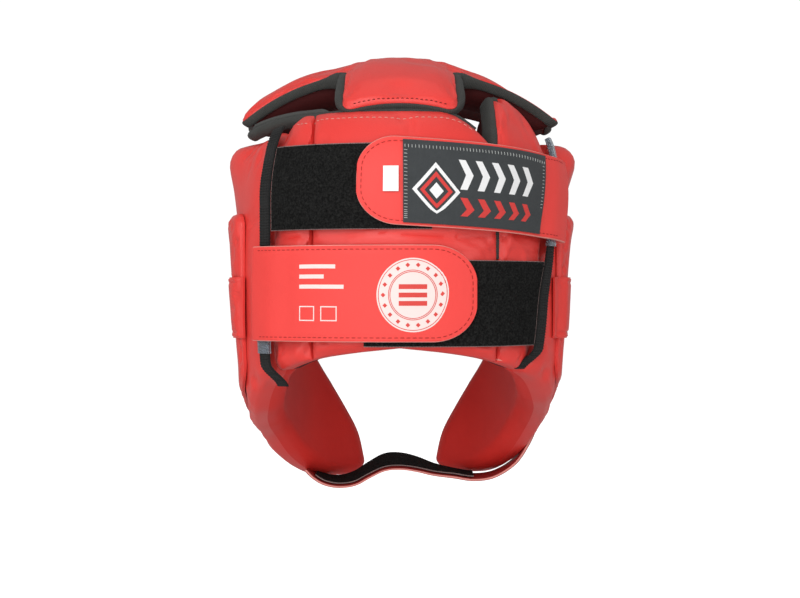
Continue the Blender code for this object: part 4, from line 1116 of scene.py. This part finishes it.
def loop_pile():
    """Dark pile of soft loops: two sizes of tufts, and pale specks where loops catch the light."""
    made = bpy.data.materials.new("loop_pile")
    made.use_nodes = True
    tree = made.node_tree
    shader = tree.nodes["Principled BSDF"]
    place_on = tree.nodes.new("ShaderNodeTexCoord")
    tufts = node(tree, "ShaderNodeTexNoise", Scale=900.0, Detail=4.0, Roughness=0.7)
    clumps = node(tree, "ShaderNodeTexNoise", Scale=210.0, Detail=3.0)
    for texture in (tufts, clumps):
        tree.links.new(place_on.outputs["Object"], texture.inputs["Vector"])
    colours = tree.nodes.new("ShaderNodeValToRGB")
    colours.color_ramp.elements[0].position, colours.color_ramp.elements[0].color = 0.40, (0.003, 0.003, 0.003, 1)
    colours.color_ramp.elements[1].position, colours.color_ramp.elements[1].color = 0.76, (0.026, 0.026, 0.025, 1)
    both = tree.nodes.new("ShaderNodeMath")
    both.operation = "ADD"
    relief = node(tree, "ShaderNodeBump", Strength=0.9, Distance=0.0009)
    tree.links.new(tufts.outputs["Fac"], colours.inputs["Fac"])
    tree.links.new(colours.outputs["Color"], shader.inputs["Base Color"])
    tree.links.new(tufts.outputs["Fac"], both.inputs[0])
    tree.links.new(clumps.outputs["Fac"], both.inputs[1])
    tree.links.new(both.outputs[0], relief.inputs["Height"])
    tree.links.new(relief.outputs["Normal"], shader.inputs["Normal"])
    shader.inputs["Roughness"].default_value = 1.0
    shader.inputs["Specular IOR Level"].default_value = 0.12
    return made


black_pile = loop_pile()
tape_edge = woven("tape_edge", (0.30, 0.20, 0.19, 1), shade=0.25, rib=0.0016)


def strap_grid(path, low, high, strips, side=None):
    """Grid of points of a band along (azimuth, out) rows between two heights; it leans as its side's groove does."""
    grid = []
    for azimuth, out in path:
        foot, head = level_for(azimuth, out, low(azimuth)), level_for(azimuth, out, high(azimuth))
        column = []
        trim = 0.00042 / max(head - foot, 0.001)
        for share in [0.0] + [trim + (1 - 2 * trim) * k / strips for k in range(strips + 1)] + [1.0]:
            level = foot + (head - foot) * share
            lean = 0.0
            if side:
                near = ease((abs(azimuth) - 20) / (VALLEY_MEAN[side] - 20))
                lean = math.copysign(near, azimuth) * (valley(side, level) - VALLEY_MEAN[side])
            column.append(place(azimuth + lean, level, out))
        grid.append(column)
    return grid


def level_run(first, last, out, steps):
    return [(first + (last - first) * k / steps, out) for k in range(steps + 1)]


def pile_relief(along, across, inside):
    return (0.00035 * noise.noise(Vector((along * 900, across * 900, 0))) + 0.0003 * noise.noise(
        Vector((along * 260, across * 260, 7)))) * swell(inside - 0.0012, 0.0012)


def loops_on(name, grid, count, size=0.0010):
    """Small loops of yarn standing out of a grid of points."""
    rng = random.Random(name)
    columns, rows = len(grid), len(grid[0])
    points, faces = [], []
    for _ in range(count):
        i, j = rng.randrange(1, columns - 2), rng.randrange(1, rows - 2)
        a, b, c = grid[i][j], grid[i + 1][j], grid[i][j + 1]
        foot = a.lerp(b, rng.random()) + (c - a) * rng.random()
        out = (b - a).cross(c - a).normalized()
        if out.dot(Vector((a.x, a.y, 0))) < 0:
            out = -out
        turn = rng.uniform(0, 2 * math.pi)
        side = ((b - a).normalized() * math.cos(turn) + (c - a).normalized() * math.sin(turn))
        thick = side.cross(out) * 0.00007
        tall, wide = size * rng.uniform(0.5, 1.1), size * rng.uniform(0.4, 0.9)
        start = len(points)
        for k in range(6):
            arc = math.pi * k / 5
            at = foot + side * (wide * math.cos(arc) * 0.5) + out * (tall * math.sin(arc) * 0.7 - 0.0002)
            points += [at - thick, at + thick, at + out * 0.00014]
        for k in range(5):
            s, t = start + 3 * k, start + 3 * k + 3
            faces += [(s, s + 1, t + 1, t), (s + 1, s + 2, t + 2, t + 1), (s + 2, s, t, t + 2)]
        faces += [(start, start + 2, start + 1), (start + 15, start + 16, start + 17)]
    return piece(name, points, faces, [black_pile])


def loop_patch(name, nodes, first, last, top, side, columns=90, strips=66):
    _, face = sheet(name, nodes,
                    strap_grid(level_run(first, last, TAPE_OUT, columns), lambda azimuth: drop(top) - TAPE_WIDTH,
                               lambda azimuth: drop(top), strips, side),
                    TAPE_THICKNESS, [black_pile, tape_edge], relief=pile_relief, selvedge=True)
    loops_on(name + "_loops", face, 2600)


loop_patch("upper_patch", ["upper_loop_patch"], VALLEY_MEAN["left"] - TAPE_MARGIN, UPPER_TAPE_END,
           UPPER_TAPE_TOP, "left")
loop_patch("lower_patch", ["lower_loop_patch"], TAPE_MARGIN - VALLEY_MEAN["right"], LOWER_TAPE_END,
           LOWER_TAPE_TOP, "right")


# Straps
# Two straps of the red leather behind the head. Each is turned round its elastic and sewn to itself, runs across the
# rear pad and closes on the loop patch of the far side with its rounded end.
STRAP_THICKNESS, UPPER_STRAP_WIDTH, LOWER_STRAP_WIDTH = 0.0026, 0.0490, 0.0535
UPPER_STRAP_TOP, UPPER_STRAP_TILT, LOWER_STRAP_TOP = 0.128, 0.00013, 0.388
UPPER_FREE_END, LOWER_FREE_END, UPPER_CORNER, LOWER_CORNER = 10.6, -18.6, 0.019, 0.0215
FOLD_BEYOND = {"left": 1.9, "right": 5.6}
SLEEVE_OUT = 0.5 * ELASTIC_THICKNESS + SLEEVE_ROOM + SLEEVE_WALL
OVER_OUT = ELASTIC_OUT + SLEEVE_OUT + CLEARANCE + 0.5 * STRAP_THICKNESS + 0.0002
STRAP_OUT = TAPE_OUT + 0.5 * TAPE_THICKNESS + CLEARANCE + 0.5 * STRAP_THICKNESS
strap_leather = leather("strap_leather", (0.77, 0.046, 0.038, 1), shade=0.90, roughness=(0.50, 0.60), crease=0.004,
                        depth=0.5, bump=0.09)
raw_edge = leather("raw_edge", (0.80, 0.30, 0.26, 1), roughness=(0.7, 0.8), bump=0.2)
# Thread darker than the strap's red: painted shade in the sewn line.
red_thread = woven("red_thread", (0.40, 0.024, 0.020, 1), shade=0.7, rib=0.0005, ribs=0.4, bump=0.15)


def upper_top(azimuth):
    return drop(UPPER_STRAP_TOP) + UPPER_STRAP_TILT * azimuth


def upper_foot(azimuth):
    return upper_top(azimuth) - UPPER_STRAP_WIDTH


def lower_top(azimuth):
    return drop(LOWER_STRAP_TOP)


def lower_foot(azimuth):
    return lower_top(azimuth) - LOWER_STRAP_WIDTH


def rounded(edge, end, inward, radius, height, inset=0.0):
    """Edge height by azimuth that turns in round a strap's free end, up or down by `height` signs."""
    def at(azimuth):
        distance = math.radians((azimuth - end) * inward) * STRAP_REACH - inset
        turn = max(0.0, 1 - distance / (radius - inset))
        inner = (radius - inset) * (1 - math.sqrt(max(0.0, 1 - min(turn, 1.0) ** 2)))
        return edge(azimuth) + height * (inset + inner)
    return at


def strap_path(free_end, elastic):
    """(azimuth, out) rows from a strap's free end, out over the elastic and round its far side."""
    sign = 1 if elastic > free_end else -1
    fold = elastic + sign * FOLD_BEYOND["left" if elastic > 0 else "right"]
    ends = (0, 0.0002, 0.0006, 0.0012, 0.002, 0.003, 0.0042, 0.0056, 0.007, 0.009, 0.011)
    rows = [(free_end + sign * math.degrees(step / STRAP_REACH), STRAP_OUT) for step in ends]
    start = rows[-1][0]
    for k in range(1, 71):
        azimuth = start + (fold - start) * k / 70
        rows.append((azimuth, STRAP_OUT + (OVER_OUT - STRAP_OUT) * ease((sign * (azimuth - elastic) + 12) / 8)))
    radius = 0.5 * (OVER_OUT - REAR_THICKNESS)
    for k in range(1, 17):
        turn = math.pi * k / 16
        rows.append((fold + sign * math.degrees(radius * math.sin(turn) / STRAP_REACH),
                     REAR_THICKNESS + radius * (1 + math.cos(turn))))
    return rows


def strap_relief(seed, groove=0.0024):
    def relief(along, across, inside):
        sewn = 0.00030 * math.exp(-((inside - groove) / 0.0006) ** 2)
        soft = 0.00045 * noise.noise(Vector((along * 38, across * 30, seed)))
        return (soft - sewn) * swell(inside, 0.002)
    return relief


def strap(name, node_name, free_end, elastic, low, high, corner, side, seed):
    inward = 1 if elastic > free_end else -1
    made, face = sheet(name, [node_name],
                       strap_grid(strap_path(free_end, elastic), rounded(low, free_end, inward, corner, 1),
                                  rounded(high, free_end, inward, corner, -1), 44, side),
                       STRAP_THICKNESS, [strap_leather, raw_edge], relief=strap_relief(seed), selvedge=True)
    return made, face


def strap_stitching(name, strap_piece, free_end, elastic, low, high, corner, side, inset=0.0024):
    """Thread round a strap, a little way in from its edge."""
    inward = 1 if elastic > free_end else -1
    end = free_end + inward * math.degrees(inset / STRAP_REACH)
    inner_low = rounded(low, free_end, inward, corner, 1, inset)
    inner_high = rounded(high, free_end, inward, corner, -1, inset)
    steps = [end + (elastic - end) * (k / 120) ** 1.6 for k in range(121)]

    def line(edge):
        path = []
        for azimuth in steps:
            share = ease((abs(azimuth) - 20) / (VALLEY_MEAN[side] - 20))
            level = level_for(azimuth, OVER_OUT, edge(azimuth))
            lean = math.copysign(share, azimuth) * (valley(side, level) - VALLEY_MEAN[side])
            out = form_frame(round(azimuth + lean, 6), round(level, 8))[1]
            path.append((place(azimuth + lean, level, OVER_OUT), out))
        return path

    top, foot = line(inner_high), line(inner_low)
    stitches(name, [top[::-1] + foot], surface_of(strap_piece), red_thread, 0.0034, 0.0026, 0.00024)


upper_strap, _ = strap("upper_band", "upper_strap", UPPER_FREE_END, -VALLEY_MEAN["right"], upper_foot, upper_top,
                       UPPER_CORNER, "right", 1.0)
lower_strap, lower_face = strap("lower_band", "lower_strap", LOWER_FREE_END, VALLEY_MEAN["left"], lower_foot,
                                lower_top, LOWER_CORNER, "left", 5.0)
strap_stitching("upper_strap_stitching", upper_strap, UPPER_FREE_END, -VALLEY_MEAN["right"], upper_foot, upper_top,
                UPPER_CORNER, "right")
strap_stitching("lower_strap_stitching", lower_strap, LOWER_FREE_END, VALLEY_MEAN["left"], lower_foot, lower_top,
                LOWER_CORNER, "left")


# Label and size tag
# A woven slate label with a plain pattern is sewn on the upper strap with a light thread, beside a small bare tag.
# The pattern is of pale and red chevrons and nested pale and red diamonds, woven a little proud of the ground.
LABEL_THICKNESS, LABEL_MARGIN, LABEL_SPAN = 0.0008, 0.0015, (-0.8, -41.0)
TAG_SPAN, TAG_DROP = (4.2, 0.4), (0.261, 0.200)
LABEL_OUT = STRAP_OUT + 0.5 * STRAP_THICKNESS + CLEARANCE + 0.5 * LABEL_THICKNESS
slate_cloth = woven("slate_cloth", (0.050, 0.055, 0.058, 1), shade=0.55, rib=0.0007, thread=0.0007, ribs=0.7,
                    threads=0.7, bump=0.35, sheen=0.04)
pale_weave = woven("pale_weave", (0.78, 0.78, 0.78, 1), shade=0.85, rib=0.0005, thread=0.0007, ribs=0.5, bump=0.25)
red_weave = woven("red_weave", (0.62, 0.050, 0.045, 1), shade=0.8, rib=0.0005, thread=0.0007, ribs=0.5, bump=0.25)
tag_cloth = woven("tag_cloth", (0.86, 0.86, 0.85, 1), shade=0.9, rib=0.0006, thread=0.0006, ribs=0.4, bump=0.15)


def on_face(face, along, across):
    """Point and direction out on a band's face, at distances along it and up it."""
    rows = len(face[0])
    k, travelled = 0, 0.0
    while k < len(face) - 2:
        step = (face[k + 1][rows // 2] - face[k][rows // 2]).length
        if travelled + step > along:
            break
        travelled, k = travelled + step, k + 1
    step = (face[k + 1][rows // 2] - face[k][rows // 2]).length
    s = (along - travelled) / step
    height = sum((face[k][j + 1] - face[k][j]).length for j in range(rows - 1))
    t = min(max(across / height, 0.0), 1.0) * (rows - 1)
    j = min(int(t), rows - 2)
    t -= j
    a, b, c, d = face[k][j], face[k + 1][j], face[k][j + 1], face[k + 1][j + 1]
    point = a.lerp(b, s).lerp(c.lerp(d, s), t)
    out = (c - a).cross(b - a).normalized()
    return point, out if out.dot(Vector((point.x, point.y, 0))) > 0 else -out


def split(outline, steps):
    """Outline with each side cut into a number of parts."""
    return [(x0 + (x1 - x0) * k / count, y0 + (y1 - y0) * k / count)
            for (x0, y0), (x1, y1), count in zip(outline, outline[1:] + outline[:1], steps) for k in range(count)]


def inlay(name, face, shapes, material, proud=0.00012, depth=0.0003, cell=0.0016):
    """Flat figures on a band's face: each an outline of (along, across) points round its middle."""
    points, faces, uvs = [], [], []
    for outline, holes in shapes:
        steps = [max(1, math.ceil(math.dist(p, q) / cell)) for p, q in zip(outline, outline[1:] + outline[:1])]
        outline = split(outline, steps)
        holes = holes and split(holes, steps)
        middle = (sum(p[0] for p in outline) / len(outline), sum(p[1] for p in outline) / len(outline))
        count = len(outline)
        inner = holes or [middle] * count
        reach = max(math.dist(p, q) for p, q in zip(outline, inner))
        rings = max(2, int(reach / cell) + 1)
        start = len(points)
        layers = []
        for lift in (-depth, proud):
            for r in range(rings + 1):
                for (x0, y0), (x1, y1) in zip(outline, inner):
                    share = r / rings if holes else r / rings * 0.995
                    x, y = x0 + (x1 - x0) * share, y0 + (y1 - y0) * share
                    point, out = on_face(face, x, y)
                    points.append(point + out * lift)
                    uvs.append((x, y))
        size = (rings + 1) * count
        for layer in range(2):
            for r in range(rings):
                a, b = start + layer * size + r * count, start + layer * size + (r + 1) * count
                faces += [(a + k, a + (k + 1) % count, b + (k + 1) % count, b + k) for k in range(count)]
        for r in (0, rings):
            a, b = start + r * count, start + size + r * count
            if r == 0 or holes:
                faces += [(a + k, a + (k + 1) % count, b + (k + 1) % count, b + k) for k in range(count)]
            else:
                faces += [tuple(a + k for k in range(count)), tuple(b + k for k in range(count))]
    return piece(name, points, faces, [material], uvs=uvs)


def box_outline(left, foot, right, head, cell=0.0020):
    across = max(1, round((right - left) / cell))
    up = max(1, round((head - foot) / cell))
    points = [(left + (right - left) * k / across, foot) for k in range(across)]
    points += [(right, foot + (head - foot) * k / up) for k in range(up)]
    points += [(right - (right - left) * k / across, head) for k in range(across)]
    return points + [(left, head - (head - foot) * k / up) for k in range(up)]


def frame_outline(left, foot, right, head, width):
    outer = box_outline(left, foot, right, head)
    mid_x, mid_y = 0.5 * (left + right), 0.5 * (foot + head)
    fx, fy = (right - left - 2 * width) / (right - left), (head - foot - 2 * width) / (head - foot)
    return outer, [(mid_x + (x - mid_x) * fx, mid_y + (y - mid_y) * fy) for x, y in outer]


def chevron(x, y, width, height, thick):
    return [(x, y), (x + thick, y), (x + thick + width, y + 0.5 * height), (x + thick, y + height), (x, y + height),
            (x + width, y + 0.5 * height)]


def diamond(x, y, width, height):
    return [(x - 0.5 * width, y), (x, y - 0.5 * height), (x + 0.5 * width, y), (x, y + 0.5 * height)]


label, label_face = sheet("strap_label", ["label"],
                          strap_grid(level_run(*LABEL_SPAN, LABEL_OUT, 90),
                                     lambda azimuth: upper_foot(azimuth) + LABEL_MARGIN,
                                     lambda azimuth: upper_top(azimuth) - LABEL_MARGIN, 46, "right"),
                          LABEL_THICKNESS, [slate_cloth], edge=0.0006)
label_length = sum((b[20] - a[20]).length for a, b in zip(label_face, label_face[1:]))
label_height = UPPER_STRAP_WIDTH - 2 * LABEL_MARGIN
inlay("label_chevrons", label_face,
      [(chevron(0.0320 + 0.0105 * k, 0.0245, 0.0042, 0.0140, 0.0042), None) for k in range(5)], pale_weave)
inlay("label_red_chevrons", label_face,
      [(chevron(0.0320 + 0.0105 * k, 0.0085, 0.0042, 0.0120, 0.0042), None) for k in range(5)], red_weave)
nest = [(diamond(0.0185, 0.0230, 2 * r, 2 * r), diamond(0.0185, 0.0230, 2 * r - 0.0050, 2 * r - 0.0050))
        for r in (0.0135, 0.0092)]
inlay("label_diamonds", label_face, [nest[0], (diamond(0.0185, 0.0230, 0.0080, 0.0080), None)], pale_weave)
inlay("label_red_diamond", label_face, [nest[1]], red_weave)
label_paths = []
for k in range(46):
    along = 0.0012 + (label_length - 0.0024) * k / 45
    for foot, head in ((0.0006, 0.0032), (label_height - 0.0032, label_height - 0.0006)):
        label_paths.append([on_face(label_face, along, foot), on_face(label_face, along, head)])
for k in range(22):
    across = 0.0045 + (label_height - 0.0090) * k / 21
    for near, far in ((0.0005, 0.0026), (label_length - 0.0026, label_length - 0.0005)):
        label_paths.append([on_face(label_face, near, across), on_face(label_face, far, across)])
grey_thread = woven("grey_thread", (0.40, 0.41, 0.40, 1), shade=0.75, rib=0.0005, ribs=0.4, bump=0.15)
stitches("label_stitching", label_paths, surface_of(label), grey_thread, 0.0020, 0.0022, 0.00022)
sheet("strap_tag", ["size_tag"],
      strap_grid(level_run(*TAG_SPAN, LABEL_OUT, 12), lambda azimuth: drop(TAG_DROP[0]),
                 lambda azimuth: drop(TAG_DROP[1]), 30), LABEL_THICKNESS, [tag_cloth], edge=0.0005)


# Printed marks
# Plain printed marks on the lower strap: a pale disc with rings and small diamonds, and a few short bars and two
# empty frames at the fixed end.
print_pale = leather("print_pale", (0.80, 0.66, 0.63, 1), shade=0.88, roughness=(0.5, 0.6), bump=0.08)
print_red = leather("print_red", (0.66, 0.045, 0.036, 1), roughness=(0.5, 0.6), bump=0.08)
DISC_PLACE, DISC_RADIUS = (0.0375, 0.0262), 0.0200
DISC_LINE, DISC_BAR, MARK_RING, MARK_SIZE = 0.0004, 0.0078, 0.0164, 0.0026


def ring(radius, count=72):
    return [(DISC_PLACE[0] + radius * math.cos(2 * math.pi * k / count),
             DISC_PLACE[1] + radius * math.sin(2 * math.pi * k / count)) for k in range(count)]


inlay("disc_print", lower_face, [(ring(DISC_RADIUS), None)], print_pale, proud=0.00006)
inlay("disc_rings", lower_face, [(ring(r), ring(r - DISC_LINE)) for r in (0.0192, 0.0136, 0.0128)], print_red,
      proud=0.00011)
middle_x, middle_y = DISC_PLACE
marks = [(diamond(middle_x + MARK_RING * math.cos(math.pi * k / 9), middle_y + MARK_RING * math.sin(math.pi * k / 9),
                  MARK_SIZE, MARK_SIZE), None) for k in range(18)]
marks += [(box_outline(middle_x - DISC_BAR, middle_y + y, middle_x + DISC_BAR, middle_y + y + MARK_SIZE), None)
          for y in (-0.0058, -0.0013, 0.0032)]
inlay("disc_marks", lower_face, marks, print_red, proud=0.00011)
bars = [(box_outline(0.1040 - w, y, 0.1040, y + 0.0022), None)
        for y, w in ((0.0405, 0.0230), (0.0350, 0.0160), (0.0295, 0.0280))]
inlay("strap_bars", lower_face, bars, print_pale, proud=0.00008)
inlay("strap_frames", lower_face, [frame_outline(0.0800 + 0.0140 * k, 0.0120, 0.0900 + 0.0140 * k, 0.0200, 0.0006)
                                   for k in range(2)], print_pale, proud=0.00008)


# Chin strap
# Leather strap under the chin from the left jaw tip to the outside of the right cheek, with loop tape on top.
CHIN_STRAP_WIDTH, CHIN_STRAP_THICKNESS, CHIN_TAPE_THICKNESS, CHIN_TAPE_MARGIN = 0.0260, 0.0022, 0.0014, 0.0020
CHIN_PATH = [(0.262, -0.292, -0.994, 2), (0.240, -0.296, -1.012, -2), (0.210, -0.300, -1.027, -5),
             (0.170, -0.305, -1.033, -7), (0.125, -0.310, -1.024, -11), (0.083, -0.315, -1.000, -14),
             (0.042, -0.318, -0.980, -16), (0.000, -0.318, -0.977, -15), (-0.045, -0.316, -0.985, -12),
             (-0.095, -0.312, -1.000, -7), (-0.150, -0.308, -1.010, -3), (-0.205, -0.302, -1.017, -3),
             (-0.262, -0.292, -1.008, -2), (-0.318, -0.276, -0.972, 0), (-0.354, -0.256, -0.918, 2),
             (-0.378, -0.240, -0.862, 4)]
# The chin strap's red leather, painted much darker for the shadow under the chin.
shaded_chin_leather = leather("shaded_chin_leather", (0.36, 0.020, 0.018, 1), roughness=(0.45, 0.6), bump=0.12)


def chin_rows(lift, first, last, width, steps=8, strips=16):
    columns = [[(k, row[part]) for k, row in enumerate(CHIN_PATH)] for part in range(4)]

    def centre(at):
        return Vector([read(column, at) for column in columns[:3]]) * GUARD_DROP

    lines = []
    for k in range((last - first) * steps + 1):
        at = first + k / steps
        turn = math.radians(read(columns[3], at))
        across = Vector((0.0, math.cos(turn), math.sin(turn)))
        along = (centre(min(at + 0.2, len(CHIN_PATH) - 1)) - centre(max(at - 0.2, 0))).normalized()
        up = across.cross(along).normalized()
        lines.append([centre(at) + up * lift + across * (0.5 * width * (1 - 2 * j / strips))
                      for j in range(strips + 1)])
    return lines


chin_lift = 0.5 * CHIN_STRAP_THICKNESS + CLEARANCE + 0.5 * CHIN_TAPE_THICKNESS
sheet("chin_band", ["chin_strap"], chin_rows(0.0, 0, len(CHIN_PATH) - 1, CHIN_STRAP_WIDTH),
      CHIN_STRAP_THICKNESS, [shaded_chin_leather, raw_edge])
sheet("chin_patch", ["chin_loop_tape"],
      chin_rows(chin_lift, 1, 11, CHIN_STRAP_WIDTH - CHIN_TAPE_MARGIN), CHIN_TAPE_THICKNESS, [black_pile, tape_edge])


# Floor, light and camera
# A plain white floor and backdrop under soft studio lights, seen from straight behind at the height of the middle of
# the guard.
FLOOR_LEVEL, FLOOR_REACH = -0.30, 3.0


def seen_white(tree, seen, lit):
    """Brightness that the camera sees as white and that lights the guard less."""
    path, choice = tree.nodes.new("ShaderNodeLightPath"), tree.nodes.new("ShaderNodeMapRange")
    choice.inputs["To Min"].default_value, choice.inputs["To Max"].default_value = lit, seen
    tree.links.new(path.outputs["Is Camera Ray"], choice.inputs["Value"])
    return choice.outputs["Result"]


floor_white = bpy.data.materials.new("floor_white")
floor_white.use_nodes = True
shader = floor_white.node_tree.nodes["Principled BSDF"]
shader.inputs["Base Color"].default_value = (0.72, 0.72, 0.72, 1)
shader.inputs["Roughness"].default_value = 0.95
shader.inputs["Emission Color"].default_value = (1, 1, 1, 1)
floor_white.node_tree.links.new(seen_white(floor_white.node_tree, 0.9, 0.0), shader.inputs["Emission Strength"])
floor_mesh = bpy.data.meshes.new("floor")
floor_corners = [(x * FLOOR_REACH, y * FLOOR_REACH, FLOOR_LEVEL) for x, y in ((-1, -1), (1, -1), (1, 1), (-1, 1))]
floor_mesh.from_pydata(floor_corners, [], [(0, 1, 2, 3)])
floor_mesh.materials.append(floor_white)
floor = bpy.data.objects.new("floor", floor_mesh)
bpy.context.collection.objects.link(floor)

world = bpy.data.worlds.new("studio")
bpy.context.scene.world = world
world.use_nodes = True
backdrop = world.node_tree.nodes["Background"]
backdrop.inputs["Color"].default_value = (1, 1, 1, 1)
world.node_tree.links.new(seen_white(world.node_tree, 1.05, 0.42), backdrop.inputs["Strength"])


def soft_light(name, place_at, target, width, power):
    lamp = bpy.data.lights.new(name, "AREA")
    lamp.shape, lamp.size, lamp.size_y, lamp.energy = "RECTANGLE", width[0], width[1], power
    made = bpy.data.objects.new(name, lamp)
    made.location = place_at
    made.rotation_euler = (Vector(target) - Vector(place_at)).to_track_quat("-Z", "Y").to_euler()
    bpy.context.collection.objects.link(made)


soft_light("key", (0.3, 1.35, 0.55), (0, 0, -0.10), (0.9, 0.9), 10.5)
soft_light("left_fill", (1.15, 0.9, 0.05), (0, 0, -0.10), (0.8, 1.2), 7.0)
soft_light("right_fill", (-1.15, 0.9, 0.05), (0, 0, -0.10), (0.8, 1.2), 5.5)
soft_light("low_fill", (0.0, 1.1, -0.26), (0, 0, -0.16), (1.2, 0.05), 2.2)
soft_light("top", (0.0, 0.1, 1.3), (0, 0, 0), (1.0, 1.0), 2.0)

EYE_DISTANCE, EYE_LEVEL = 1.20, -0.119
camera = bpy.data.objects.new("camera", bpy.data.cameras.new("camera"))
camera.location = (0, EYE_DISTANCE, EYE_LEVEL)
camera.rotation_euler = (math.radians(90), 0, math.radians(180))
camera.data.lens = 88.5
bpy.context.collection.objects.link(camera)
bpy.context.scene.camera = camera
bpy.context.scene.view_settings.view_transform = "Standard"
